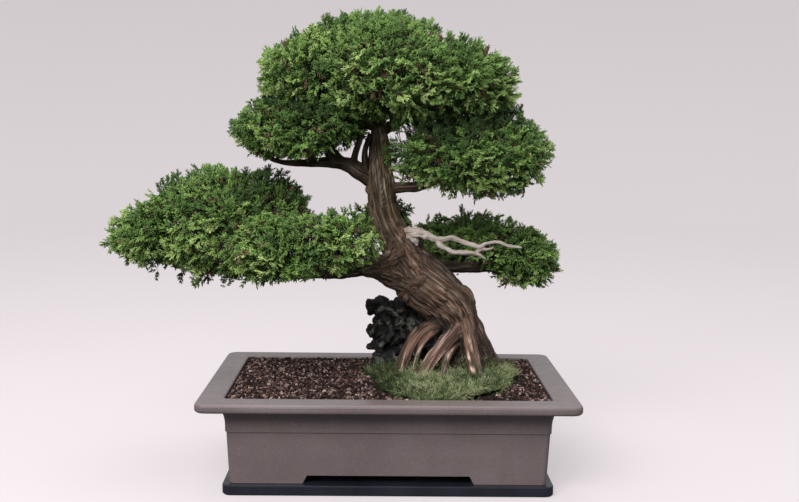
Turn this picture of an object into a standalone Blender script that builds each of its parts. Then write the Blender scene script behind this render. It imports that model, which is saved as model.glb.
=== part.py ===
"""Cypress bonsai in a rectangular stoneware pot, standing on a dark display slab.

Units are metres, +Z is up, +X is to the right seen from the front, and -Y faces the viewer.
The origin is the centre of the slab's underside. The tree, its rock and its foliage are laid
out in millimetres from the pot's centre line, with heights above the rim of the pot.
"""
import math

import bmesh
import bpy
from mathutils import Matrix, Vector, noise

# ---------------------------------------------------------------- driving dimensions
GAP = 0.0003                 # clearance kept between touching pieces
WOOD_CLEARANCE = 1.5 * GAP   # foliage, moss and soil stand this far off wood
BODY_CLEARANCE = 3 * GAP     # and this far off the rock and off each other
MM = 0.001
CUT_OVERSHOOT = 0.003        # cutters reach this far past the face they cut

POT_LENGTH = 0.500           # rim, outside to outside, along X
POT_WIDTH = 0.350            # rim, outside to outside, along Y
POT_HEIGHT = 0.115
RIM_WIDTH = 0.035            # flat top of the lip
LIP_THICKNESS = 0.013
LIP_EDGE_RADIUS = 0.0045
RIM_CORNER_RADIUS = 0.014
OPENING_CORNER_RADIUS = 0.008
BODY_CORNER_RADIUS = 0.007
BAND_INSET = 0.0355          # rim's edge to the moulded band's face
BAND_STEP = 0.0015           # the band stands this proud of the body
BAND_HEIGHT = 0.046          # rim's top down to the step
BASE_INSET = 0.0405          # rim's edge to the body at its base
COVE_REACH = 0.010           # how far the cove swells out under the lip
COVE_CLEAR_OF_STEP = 0.006   # plain band between the step and the foot of the cove
STEP_BEVEL = 0.0008          # half the height of the bevel at the step
WALL = 0.014
FLOOR = 0.013
FOOT_HEIGHT = 0.011
FOOT_RING = 0.030            # width of the foot that runs round the base
RECESS_EXTRA = 0.001         # the recess inside the foot is this much higher than the openings
FRONT_CUTOUT = 0.214         # foot opening's width at its top, front and back
SIDE_CUTOUT = 0.110          # foot opening's width at its top, both sides
CUTOUT_SLANT = 0.006         # each end of a foot opening leans out by this
DRAIN_RADIUS = 0.010
DRAIN_SPACING = 0.220

SLAB_THICKNESS = 0.014
SLAB_MARGIN = 0.009          # slab beyond the pot's base on every side
SLAB_CORNER_RADIUS = 0.012
SLAB_EDGE_RADIUS = 0.002

SCREEN_SIZE = 0.036
SCREEN_THICKNESS = 0.0016
SCREEN_HOLES = 4             # openings along each side of a screen
DRAINAGE_DEPTH = 0.015
SOIL_BELOW_RIM = 0.004
MOUND_RISE = 0.011           # soil heaped up under the tree
MOUND_PLATEAU = (0.115, 0.085)     # half length and half width of its flat top
MOUND_FALL = 0.75            # its slope's length, as a share of the plateau
SOIL_EDGE = 0.004            # height of the soil's side under its top edge
SOIL_RINGS = (1.0, 0.85, 0.7, 0.55, 0.4, 0.25, 0.1)
MOSS_THICKNESS = 0.008
MOSS_EDGE = 0.25             # share of the moss's thickness at its edge, and of its radius
MOSS_REACH = (0.104, 0.112)        # half length and half width
MOSS_OFFSET = (-0.012, -0.026)     # its centre from the tree's foot
MOSS_WAVES = ((3, 0.05, 0.6), (7, 0.035, 0.0))   # turns, size and start of its wavy edge
MOSS_EDGE_POINTS = 28
MOSS_RINGS = (1.0, 0.86, 0.6, 0.3)
MOSS_CLEAR_OF_POT = 0.002

TREE_HEIGHT = 0.511          # top of the crown above the rim
TREE_FOOT = (85, 0, 6)       # millimetres, where the tree meets the heaped soil
TREE_HEIGHT_DRAWN = 0.511    # the height that the stations below are drawn at
FOLIAGE_VOXEL = 0.024
FOLIAGE_RIPPLE = 0.045       # unevenness of a foliage lobe, as a share of its radii
ROCK_VOXEL = 0.011
ROCK_CRAG = 0.30             # unevenness of a rock lump, as a share of its radii
TRUNK_SIDES = 16
LIMB_SIDES = 8
POINTS_PER_STATION = 1       # points along a limb for each of its stations

POT_BASE_Z = SLAB_THICKNESS + GAP
RIM_Z = POT_BASE_Z + POT_HEIGHT
STEP_Z = RIM_Z - BAND_HEIGHT
FLOOR_Z = POT_BASE_Z + FOOT_HEIGHT + FLOOR
SOIL_Z = RIM_Z - SOIL_BELOW_RIM
DRAINAGE_TOP_Z = FLOOR_Z + GAP + DRAINAGE_DEPTH
TREE_SCALE = TREE_HEIGHT / TREE_HEIGHT_DRAWN

# ---------------------------------------------------------------- stations of the tree
# Each station is (x, y, height above the rim, radius) in millimetres.
TRUNK = [
    (104, 8, -44, 38), (104, 7, -20, 42), (105, 6, 4, 43), (105, 4, 26, 38), (101, 2, 46, 33),
    (98, 2, 66, 31), (94, 2, 86, 31), (80, 2, 107, 34), (57, 2, 127, 37), (35, 2, 149, 35),
    (21, 1, 173, 30), (11, 0, 194, 25), (0, -2, 215, 21), (-8, -3, 236, 19.5), (-12, -3, 256, 19),
    (-14, -2, 276, 19.5), (-16, 0, 298, 17), (-17, 2, 322, 14), (-18, 3, 350, 10.5),
    (-19, 3, 378, 7.5), (-18, 2, 408, 5.5), (-14, 2, 440, 3.5),
]
ROOTS = {
    "arch": [(86, -2, 84, 12), (66, -16, 79, 9.5), (47, -26, 71, 8), (36, -32, 58, 7.5),
             (28, -34, 42, 7), (22, -36, 24, 7), (17, -40, 4, 6.5), (13, -42, -14, 5)],
    "side": [(78, -10, 75, 7), (62, -24, 68, 5.5), (50, -34, 58, 4.5), (42, -38, 45, 4),
             (36, -42, 24, 4), (32, -46, 2, 4), (30, -48, -12, 3.5)],
    "thin": [(40, -16, 70, 6), (28, -20, 54, 5), (20, -22, 38, 4.5), (12, -26, 18, 4),
             (6, -30, -8, 3.5)],
    "thick": [(98, -16, 76, 14), (86, -30, 64, 11), (73, -38, 50, 10), (60, -44, 35, 9),
              (48, -50, 19, 8.5), (40, -54, 2, 8), (35, -58, -16, 6.5)],
    "small": [(92, -28, 52, 9), (81, -42, 40, 6.5), (76, -50, 24, 5.5), (72, -54, 6, 5),
              (70, -58, -14, 4)],
    "front": [(104, -14, 88, 13), (110, -26, 62, 12.5), (115, -36, 38, 11.5), (120, -44, 18, 10.5),
              (126, -52, -4, 9), (130, -58, -20, 7)],
    "right": [(110, 0, 90, 14), (121, 0, 66, 14), (133, 2, 42, 14), (144, 4, 22, 13),
              (155, 6, 2, 11), (164, 8, -18, 8)],
    "back_right": [(102, 12, 78, 14), (112, 30, 50, 13), (124, 48, 22, 11), (134, 62, -4, 9),
                   (140, 70, -20, 7)],
    "back_left": [(92, 12, 72, 13), (84, 34, 44, 11), (80, 52, 20, 10), (76, 66, -4, 8),
                  (74, 74, -20, 6.5)],
}
BRANCHES = {
    "branch_upper_left": [(-14, 0, 276, 12), (-30, -1, 284, 12), (-44, -3, 292, 11), (-58, -4, 300, 10),
                          (-76, -6, 303, 8.5), (-96, -8, 303, 7), (-124, -9, 302, 5), (-148, -10, 303, 3.8),
                          (-166, -11, 308, 2.8), (-176, -12, 320, 2.2)],
    "branch_upper_right": [(-10, -2, 268, 8), (6, -6, 269, 8), (24, -10, 270, 7), (42, -13, 272, 6.5),
                           (66, -14, 282, 6), (100, -12, 298, 5), (138, -10, 312, 4), (170, -10, 322, 2.8)],
    "branch_lower_left": [(34, 4, 158, 17), (8, -6, 160, 16.5), (-16, -12, 159, 14), (-40, -17, 156, 11),
                          (-72, -18, 151, 9), (-104, -14, 150, 8.5), (-142, -4, 148, 8),
                          (-184, 8, 147, 7), (-236, 15, 148, 5.5), (-280, 18, 152, 4.2),
                          (-330, 20, 164, 2.8)],
    "branch_lower_right": [(40, 8, 162, 13), (56, 26, 158, 11), (74, 44, 153, 9.5), (94, 58, 150, 8.5),
                           (118, 68, 149, 7.5), (146, 76, 148, 6.5), (180, 82, 150, 5),
                           (214, 84, 154, 3.2)],
    "branch_back": [(-6, 0, 226, 11), (-8, 22, 224, 9), (-10, 46, 220, 7.5), (-12, 72, 218, 6),
                    (-14, 100, 220, 4.5), (-16, 124, 226, 3)],
    "crown_branch_left": [(-18, 3, 350, 7), (-34, 0, 358, 7), (-56, -4, 370, 6), (-82, -6, 388, 5),
                          (-108, -8, 410, 3.8), (-128, -8, 432, 2.6)],
    "crown_branch_right": [(-16, 3, 344, 7), (0, 0, 354, 7), (22, -2, 366, 6), (50, -4, 380, 5),
                           (80, -4, 394, 3.8), (108, -4, 412, 2.6)],
    "crown_branch_front": [(-18, 0, 366, 6), (-16, -16, 376, 5.5), (-12, -40, 390, 4.5),
                           (-8, -66, 410, 3.4), (-6, -86, 430, 2.4)],
    "crown_branch_back": [(-18, 4, 372, 6), (-20, 20, 382, 5.5), (-22, 44, 396, 4.5),
                          (-22, 68, 414, 3.4), (-20, 88, 432, 2.4)],
}
# Side shoots that grew with a branch, as one piece of wood with it.
SHOOTS = {
    "branch_upper_left": [
        [(-64, -5, 302, 6), (-78, -12, 316, 5), (-92, -18, 334, 4), (-104, -22, 352, 2.6)],
        [(-52, -4, 297, 6), (-50, -10, 314, 5), (-44, -14, 332, 4), (-38, -16, 350, 2.6)],
    ],
    "branch_lower_left": [
        [(-60, -18, 152, 7), (-74, -38, 158, 5.5), (-90, -62, 168, 4.5), (-110, -84, 178, 3)],
        [(-150, -2, 148, 6), (-172, -22, 156, 5), (-196, -40, 168, 4), (-222, -54, 182, 2.8)],
        [(-196, 10, 147, 5.5), (-206, 34, 156, 4.6), (-216, 58, 172, 3.6), (-224, 76, 190, 2.6)],
    ],
    "branch_lower_right": [
        [(104, 62, 150, 6), (108, 84, 158, 5), (108, 108, 170, 4), (106, 128, 180, 2.8)],
    ],
    "branch_upper_right": [
        [(54, -14, 276, 5), (66, -34, 286, 4.4), (84, -54, 298, 3.6), (104, -68, 310, 2.6)],
        [(60, -14, 279, 5), (76, 8, 288, 4.4), (94, 30, 300, 3.6), (112, 48, 312, 2.6)],
    ],
}
JIN = [(16, 0, 208, 7), (29, -14, 208, 7), (42, -22, 210, 5.5), (56, -26, 204, 4.5), (68, -28, 199, 4.2),
       (86, -30, 202, 3.6), (102, -32, 197, 3.4), (122, -34, 190, 3.3), (132, -35, 195, 2.8),
       (148, -36, 197, 2.5), (163, -38, 192, 2.2), (180, -40, 190, 1.6)]
JIN_FORKS = [
    [(64, -28, 200, 4), (72, -29, 190, 4), (89, -31, 182, 3.6), (108, -33, 182, 3.2), (120, -34, 180, 2.8),
     (131, -35, 174, 1.8)],
    [(116, -34, 181, 2.4), (125, -34, 186, 2.6), (134, -35, 187, 2.2), (142, -35, 189, 1.4)],
]
# Foliage lobes are (x, y, height, x radius, y radius, radius upwards, radius downwards).
FOLIAGE = {
    "foliage_crown": [
        (-20, 0, 420, 122, 130, 91, 54), (-99, -4, 420, 88, 112, 62, 32),
        (86, 0, 398, 94, 112, 78, 26), (30, -52, 410, 92, 80, 70, 40),
    ],
    "foliage_upper_left": [
        (-144, -12, 348, 82, 84, 46, 40), (-84, -26, 354, 50, 72, 40, 28), (-64, 34, 356, 42, 40, 36, 24),
    ],
    "foliage_upper_right": [
        (132, -10, 318, 94, 94, 58, 62), (54, -28, 316, 54, 64, 50, 40), (174, -4, 322, 52, 72, 50, 46),
        (88, 34, 318, 56, 58, 54, 40),
    ],
    "foliage_lower_left_back": [
        (-332, 20, 190, 69, 84, 60, 44), (-246, 22, 208, 106, 104, 90, 78), (-164, 34, 212, 52, 74, 80, 50),
    ],
    "foliage_lower_left_front": [
        (-74, -88, 192, 60, 52, 54, 34), (-146, -106, 186, 72, 52, 56, 46),
    ],
    "foliage_lower_right": [
        (60, 108, 186, 42, 44, 34, 36), (98, 110, 188, 46, 54, 34, 36), (142, 100, 182, 58, 70, 50, 38),
        (202, 90, 160, 58, 70, 48, 42),
    ],
    "foliage_back": [(-14, 112, 212, 46, 42, 30, 26), (-42, 118, 206, 34, 36, 26, 22),
                     (16, 118, 210, 32, 38, 30, 24)],
}
# Which branches run into which foliage.
CROSSINGS = {
    "foliage_crown": ["crown_branch_left", "crown_branch_right", "crown_branch_front", "crown_branch_back"],
    "foliage_upper_left": ["branch_upper_left", "crown_branch_left"],
    "foliage_upper_right": ["branch_upper_right", "crown_branch_right"],
    "foliage_lower_left_back": ["branch_lower_left"],
    "foliage_lower_left_front": ["branch_lower_left"],
    "foliage_lower_right": ["branch_lower_right"],
    "foliage_back": ["branch_back"],
}
# Foliage that gives way where it meets other foliage.
MEETINGS = {
    "foliage_crown": ["foliage_upper_left", "foliage_upper_right"],
    "foliage_lower_right": ["foliage_back"],
}
# Rock lumps are (x, y, height, x radius, y radius, z radius).
ROCK = [(-12, 46, 90, 19, 22, 15), (4, 48, 66, 36, 30, 30), (-16, 44, 48, 20, 26, 20),
        (34, 50, 62, 30, 26, 26), (6, 46, 18, 42, 34, 26), (40, 50, 26, 34, 30, 26)]

COLOURS = {
    "slab": ((0.012, 0.014, 0.018), 0.18), "stoneware": ((0.215, 0.165, 0.150), 0.55),
    "screen": ((0.03, 0.03, 0.03), 0.6), "grit": ((0.22, 0.17, 0.13), 0.9),
    "soil": ((0.095, 0.052, 0.038), 0.95), "moss": ((0.16, 0.26, 0.075), 0.9),
    "rock": ((0.035, 0.037, 0.038), 0.75), "bark": ((0.16, 0.10, 0.07), 0.85),
    "deadwood": ((0.72, 0.66, 0.58), 0.7), "foliage": ((0.075, 0.20, 0.045), 0.6),
}


# ---------------------------------------------------------------- helpers
def clear_scene():
    for obj in list(bpy.data.objects):
        bpy.data.objects.remove(obj, do_unlink=True)


def material(name):
    found = bpy.data.materials.get(name)
    if found:
        return found
    colour, roughness = COLOURS[name]
    made = bpy.data.materials.new(name)
    made.use_nodes = True
    shader = made.node_tree.nodes["Principled BSDF"]
    shader.inputs["Base Color"].default_value = (*colour, 1.0)
    shader.inputs["Roughness"].default_value = roughness
    shader.inputs["Metallic"].default_value = 0.0
    return made


def add_object(name, bm, finish=None, smooth_below=None):
    bmesh.ops.recalc_face_normals(bm, faces=bm.faces)
    mesh = bpy.data.meshes.new(name)
    bm.to_mesh(mesh)
    bm.free()
    obj = bpy.data.objects.new(name, mesh)
    bpy.context.collection.objects.link(obj)
    if finish:
        mesh.materials.append(material(finish))
    if smooth_below:
        mesh.shade_smooth()
        mesh.set_sharp_from_angle(angle=math.radians(smooth_below))
    return obj


def as_cutter(obj):
    obj.hide_render = True
    obj.display_type = "WIRE"
    return obj


def boolean(target, other, operation="DIFFERENCE"):
    step = target.modifiers.new(f"{operation.lower()}_{other.name}", "BOOLEAN")
    step.operation = operation
    step.solver = "EXACT"
    step.object = other
    return step


def loft(bm, rings):
    """Skin a closed body over rings that have equal numbers of points."""
    loops = [[bm.verts.new(p) for p in ring] for ring in rings]
    for low, high in zip(loops, loops[1:]):
        for i in range(len(low)):
            j = (i + 1) % len(low)
            bm.faces.new((low[i], low[j], high[j], high[i]))
    bm.faces.new(loops[0][::-1])
    bm.faces.new(loops[-1])


def rounded_rectangle(length, width, radius, z, steps=5):
    ring = []
    for quarter in range(4):
        sx, sy = ((1, 1), (-1, 1), (-1, -1), (1, -1))[quarter]
        cx, cy = sx * (length / 2 - radius), sy * (width / 2 - radius)
        for k in range(steps + 1):
            angle = math.pi / 2 * (quarter + k / steps)
            ring.append((cx + radius * math.cos(angle), cy + radius * math.sin(angle), z))
    return ring


def pot_ring(inset, z, radius):
    return rounded_rectangle(POT_LENGTH - 2 * inset, POT_WIDTH - 2 * inset, radius, z)


def arc(centre_inset, centre_z, radius, start, end, steps=3):
    """Points of a profile arc as (inset, z); 0 degrees points out of the pot, 90 points up."""
    points = []
    for k in range(steps + 1):
        angle = math.radians(start + (end - start) * k / steps)
        points.append((centre_inset - radius * math.cos(angle), centre_z + radius * math.sin(angle)))
    return points


def smooth_path(stations, per_span):
    """Catmull-Rom points through the stations, radius included."""
    ends = [stations[0], *stations, stations[-1]]
    path = []
    for a, b, c, d in zip(ends, ends[1:], ends[2:], ends[3:]):
        for k in range(per_span):
            t = k / per_span
            path.append(tuple(
                0.5 * (2 * q + (r - p) * t + (2 * p - 5 * q + 4 * r - s) * t * t
                       + (3 * q - p - 3 * r + s) * t ** 3)
                for p, q, r, s in zip(a, b, c, d)))
    path.append(tuple(stations[-1]))
    return path


def tree_point(x, y, height):
    """From drawn millimetres to metres in the part's frame, about the tree's foot."""
    fx, fy, fz = TREE_FOOT
    return Vector(((fx + (x - fx) * TREE_SCALE) * MM, (fy + (y - fy) * TREE_SCALE) * MM,
                   RIM_Z + (fz + (height - fz) * TREE_SCALE) * MM))


def limb(stations, sides, grow):
    """One tapering limb of wood as a closed tube along its stations, grown outwards all round."""
    path = smooth_path(stations, POINTS_PER_STATION)
    points = [tree_point(x, y, z) for x, y, z, _ in path]
    radii = [r * TREE_SCALE * MM + grow for *_, r in path]
    points[0] += (points[0] - points[1]).normalized() * grow
    points[-1] += (points[-1] - points[-2]).normalized() * grow
    rings = []
    across = Vector((1, 0, 0))
    for i, point in enumerate(points):
        tangent = (points[min(i + 1, len(points) - 1)] - points[max(i - 1, 0)]).normalized()
        across = (across - tangent * across.dot(tangent)).normalized()
        side = tangent.cross(across)
        rings.append([point + radii[i] * (math.cos(a) * across + math.sin(a) * side)
                      for a in (2 * math.pi * k / sides for k in range(sides))])
    bm = bmesh.new()
    loft(bm, rings)
    return bm


def joined_wood(name, main, others, finish, sides, other_sides, grow=0.0):
    """A limb with the roots or shoots that grew from it, as one solid."""
    wood = add_object(name, limb(main, sides, grow), finish, smooth_below=50)
    for number, stations in enumerate(others):
        part = as_cutter(add_object(f"cutter_{name}_{number}", limb(stations, other_sides, grow)))
        boolean(wood, part, "UNION")
    return wood


def clearance_of_wood(name, main, others, sides, other_sides):
    """The same wood a clearance larger all round, for cutting what it passes through."""
    return as_cutter(joined_wood(f"cutter_{name}", main, others, None, sides, other_sides,
                                 WOOD_CLEARANCE))


# ---------------------------------------------------------------- slab and pot
def make_slab():
    length = POT_LENGTH - 2 * BASE_INSET + 2 * SLAB_MARGIN
    width = POT_WIDTH - 2 * BASE_INSET + 2 * SLAB_MARGIN
    rings = []
    for inset, z in [(SLAB_EDGE_RADIUS, 0.0), (0.0, SLAB_EDGE_RADIUS)] + [
            (i, z) for i, z in arc(SLAB_EDGE_RADIUS, SLAB_THICKNESS - SLAB_EDGE_RADIUS,
                                   SLAB_EDGE_RADIUS, 0, 90)]:
        rings.append(rounded_rectangle(length - 2 * inset, width - 2 * inset,
                                       SLAB_CORNER_RADIUS - inset, z))
    bm = bmesh.new()
    loft(bm, rings)
    return add_object("display_slab", bm, "slab", smooth_below=35)


def inside_inset(z):
    """Inset of the pot's inner wall from the rim's outline, at a height."""
    top, middle, low = RIM_Z - LIP_THICKNESS, STEP_Z, FLOOR_Z
    if z >= top:
        return RIM_WIDTH
    if z >= middle:
        return RIM_WIDTH + (BAND_INSET + WALL - RIM_WIDTH) * (top - z) / (top - middle)
    return BAND_INSET + WALL + (BASE_INSET - BAND_INSET) * (middle - z) / (middle - low)


def pot_profile():
    """(inset, z, corner radius) from the base, up the outside and down the inside to the floor."""
    under_lip = RIM_Z - LIP_THICKNESS
    cove_foot = STEP_Z + COVE_CLEAR_OF_STEP
    step = BAND_INSET + BAND_STEP
    points = [(BASE_INSET, POT_BASE_Z, BODY_CORNER_RADIUS),
              (step, STEP_Z - STEP_BEVEL, BODY_CORNER_RADIUS),
              (BAND_INSET, STEP_Z + STEP_BEVEL, BODY_CORNER_RADIUS)]
    cove_steps = 6
    for k in range(cove_steps + 1):
        turn = math.pi / 2 * k / cove_steps
        points.append((BAND_INSET - COVE_REACH * (1 - math.cos(turn)),
                       cove_foot + (under_lip - cove_foot) * math.sin(turn),
                       BODY_CORNER_RADIUS + k * MM / 2))
    radius = LIP_EDGE_RADIUS
    lip = arc(radius, under_lip + radius, radius, -90, 0) + arc(radius, RIM_Z - radius, radius, 0, 90)
    inner = arc(RIM_WIDTH - radius / 2, RIM_Z - radius / 2, radius / 2, 90, 180)
    points += [(inset, z, RIM_CORNER_RADIUS - inset / 2) for inset, z in lip]
    points += [(inset, z, OPENING_CORNER_RADIUS) for inset, z in inner]
    points += [(inside_inset(z), z, OPENING_CORNER_RADIUS) for z in (under_lip, STEP_Z, FLOOR_Z)]
    return points


def foot_opening(name, top_width, along_x, reach):
    """A trapezoid tunnel cut across the foot, wider at the bottom."""
    below = POT_BASE_Z - CUT_OVERSHOOT
    above = POT_BASE_Z + FOOT_HEIGHT
    lean = CUTOUT_SLANT * (above - below) / FOOT_HEIGHT
    outline = [(-top_width / 2 - lean, below), (top_width / 2 + lean, below),
               (top_width / 2, above), (-top_width / 2, above)]
    bm = bmesh.new()
    if along_x:
        loft(bm, [[(side * reach, a, z) for a, z in outline] for side in (-1, 1)])
    else:
        loft(bm, [[(a, side * reach, z) for a, z in outline] for side in (-1, 1)])
    return as_cutter(add_object(name, bm))


def cylinder_cutter(name, x, y, low, high, radius):
    bm = bmesh.new()
    bmesh.ops.create_cone(bm, cap_ends=True, segments=24, radius1=radius, radius2=radius,
                          depth=high - low, matrix=Matrix.Translation((x, y, (low + high) / 2)))
    return as_cutter(add_object(name, bm))


def drain_positions():
    return {"left": -DRAIN_SPACING / 2, "right": DRAIN_SPACING / 2}


def make_pot():
    bm = bmesh.new()
    loft(bm, [pot_ring(inset, z, radius) for inset, z, radius in pot_profile()])
    pot = add_object("pot", bm, "stoneware", smooth_below=35)
    recess = bmesh.new()
    inset = BASE_INSET + FOOT_RING
    loft(recess, [pot_ring(inset, z, BODY_CORNER_RADIUS)
                  for z in (POT_BASE_Z - CUT_OVERSHOOT, POT_BASE_Z + FOOT_HEIGHT + RECESS_EXTRA)])
    boolean(pot, as_cutter(add_object("cutter_recess", recess)))
    boolean(pot, foot_opening("cutter_foot_front", FRONT_CUTOUT, False, POT_WIDTH))
    boolean(pot, foot_opening("cutter_foot_side", SIDE_CUTOUT, True, POT_LENGTH))
    for side, x in drain_positions().items():
        drain = cylinder_cutter(f"cutter_drain_{side}", x, 0.0, POT_BASE_Z, FLOOR_Z + CUT_OVERSHOOT,
                                DRAIN_RADIUS)
        boolean(pot, drain)
    return pot


def make_screen(side, x):
    """A square plastic mesh over a drain hole: one plate with a grid of square openings."""
    cells = 2 * SCREEN_HOLES + 1
    pitch = SCREEN_SIZE / cells
    start = -SCREEN_SIZE / 2
    bottom = FLOOR_Z + GAP
    bm = bmesh.new()
    grid = [[bm.verts.new((start + i * pitch, start + j * pitch, 0)) for j in range(cells + 1)]
            for i in range(cells + 1)]
    for i in range(cells):
        for j in range(cells):
            if not (i % 2 and j % 2):
                bm.faces.new((grid[i][j], grid[i + 1][j], grid[i + 1][j + 1], grid[i][j + 1]))
    made = bmesh.ops.extrude_face_region(bm, geom=bm.faces[:])
    lifted = [v for v in made["geom"] if isinstance(v, bmesh.types.BMVert)]
    bmesh.ops.translate(bm, verts=lifted, vec=(0, 0, SCREEN_THICKNESS))
    screen = add_object(f"drain_screen_{side}", bm, "screen")
    screen.location = (x, 0.0, bottom)
    return screen


def filling_ring(z):
    """Outline of what fills the pot, a clearance inside its inner wall."""
    return pot_ring(inside_inset(z) + 1.5 * GAP, z, OPENING_CORNER_RADIUS)


def make_drainage_layer():
    bm = bmesh.new()
    loft(bm, [filling_ring(z) for z in (FLOOR_Z + GAP, DRAINAGE_TOP_Z)])
    layer = add_object("drainage_layer", bm, "grit")
    for side, x in drain_positions().items():
        pocket = bmesh.new()
        reach = SCREEN_SIZE / 2 + GAP
        corners = [(x - reach, -reach), (x + reach, -reach), (x + reach, reach), (x - reach, reach)]
        loft(pocket, [[(px, py, z) for px, py in corners]
                      for z in (FLOOR_Z - CUT_OVERSHOOT, FLOOR_Z + SCREEN_THICKNESS + 2 * GAP)])
        boolean(layer, as_cutter(add_object(f"cutter_pocket_{side}", pocket)))
    return layer


# ---------------------------------------------------------------- soil and moss
def heap(x, y):
    """Height of the heaped soil over its flat level: a plateau under the tree that slopes away."""
    foot = tree_point(*TREE_FOOT)
    spread_x, spread_y = (half * TREE_SCALE for half in MOUND_PLATEAU)
    distance = math.hypot((x - foot.x) / spread_x, (y - foot.y) / spread_y)
    fall = min(max((1 + MOUND_FALL - distance) / MOUND_FALL, 0.0), 1.0)
    return MOUND_RISE * fall * fall * (3 - 2 * fall)


def mound_rings(outline, centre, shares, height):
    """Rings that close in from an outline to a centre, lifted by a height function."""
    rings = []
    for share in shares:
        ring = []
        for x, y in outline:
            px, py = centre[0] + (x - centre[0]) * share, centre[1] + (y - centre[1]) * share
            ring.append((px, py, height(px, py, share)))
        rings.append(ring)
    return rings


def make_soil():
    foot = tree_point(*TREE_FOOT)
    rings = [filling_ring(z) for z in (DRAINAGE_TOP_Z + GAP, STEP_Z, SOIL_Z - SOIL_EDGE)]
    outline = [(x, y) for x, y, _ in filling_ring(SOIL_Z)]
    rings += mound_rings(outline, (foot.x, foot.y), SOIL_RINGS, lambda x, y, share: SOIL_Z + heap(x, y))
    bm = bmesh.new()
    loft(bm, rings)
    return add_object("soil", bm, "soil", smooth_below=60)


def moss_outline():
    """The moss carpet's edge: a wavy oval round the tree that stays inside the pot's opening."""
    foot = tree_point(*TREE_FOOT)
    most_x = POT_LENGTH / 2 - RIM_WIDTH - MOSS_CLEAR_OF_POT - GAP
    most_y = POT_WIDTH / 2 - RIM_WIDTH - MOSS_CLEAR_OF_POT - GAP
    outline = []
    for k in range(MOSS_EDGE_POINTS):
        angle = 2 * math.pi * k / MOSS_EDGE_POINTS
        wave = 1 + sum(size * math.sin(turns * angle + start) for turns, size, start in MOSS_WAVES)
        x = foot.x + TREE_SCALE * (MOSS_REACH[0] * wave * math.cos(angle) + MOSS_OFFSET[0])
        y = foot.y + TREE_SCALE * (MOSS_REACH[1] * wave * math.sin(angle) + MOSS_OFFSET[1])
        outline.append((min(max(x, -most_x), most_x), min(max(y, -most_y), most_y)))
    return outline


def make_moss():
    foot = tree_point(*TREE_FOOT)
    centre = (foot.x, foot.y)

    def underside(x, y, share):
        return SOIL_Z + heap(x, y) + 2 * GAP

    def surface(x, y, share):
        fullness = min(1.0, (1 - share) / MOSS_EDGE)
        return underside(x, y, share) + MOSS_THICKNESS * (MOSS_EDGE + (1 - MOSS_EDGE) * fullness)

    low = mound_rings(moss_outline(), centre, MOSS_RINGS[::-1], underside)
    high = mound_rings(moss_outline(), centre, MOSS_RINGS, surface)
    bm = bmesh.new()
    loft(bm, low + high)
    return add_object("moss_carpet", bm, "moss", smooth_below=60)


# ---------------------------------------------------------------- rock
def make_rock():
    bm = bmesh.new()
    for x, y, z, rx, ry, rz in ROCK:
        lump = bmesh.ops.create_icosphere(bm, subdivisions=3, radius=1.0)
        for vert in lump["verts"]:
            direction = vert.co.normalized()
            crag = 1 + ROCK_CRAG * noise.noise(direction * 1.7 + Vector((x, y, z)))
            vert.co = Vector((x + rx * crag * direction.x, y + ry * crag * direction.y,
                              z + rz * crag * direction.z)) * MM
            vert.co.z += RIM_Z
    rock = add_object("rock", bm, "rock")
    remesh = rock.modifiers.new("one_body", "REMESH")
    remesh.mode = "VOXEL"
    remesh.voxel_size = ROCK_VOXEL
    ease = rock.modifiers.new("ease_creases", "SMOOTH")
    ease.factor = 0.5
    ease.iterations = 2
    return rock


def clearance_of_body(obj):
    """A cutter with a rounded body's own shape, a clearance larger all round."""
    grown = obj.copy()
    grown.name = f"cutter_{obj.name}"
    bpy.context.collection.objects.link(grown)
    swell = grown.modifiers.new("clearance", "DISPLACE")
    swell.mid_level = 0.0
    swell.strength = BODY_CLEARANCE
    return as_cutter(grown)


# ---------------------------------------------------------------- foliage
def add_lobe(bm, x, y, z, rx, ry, up, down):
    sphere = bmesh.ops.create_uvsphere(bm, u_segments=28, v_segments=18, radius=1.0)
    for vert in sphere["verts"]:
        d = vert.co.copy()
        ripple = 1 + FOLIAGE_RIPPLE * noise.noise(d * 2.6 + Vector((x, y, z)) * 0.11)
        reach = up if d.z > 0 else down
        vert.co = tree_point(x + rx * d.x * ripple, y + ry * d.y * ripple, z + reach * d.z * ripple)


def make_foliage(name, lobes):
    bm = bmesh.new()
    for lobe in lobes:
        add_lobe(bm, *lobe)
    pad = add_object(name, bm, "foliage")
    remesh = pad.modifiers.new("one_body", "REMESH")
    remesh.mode = "VOXEL"
    remesh.voxel_size = FOLIAGE_VOXEL
    return pad


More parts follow.
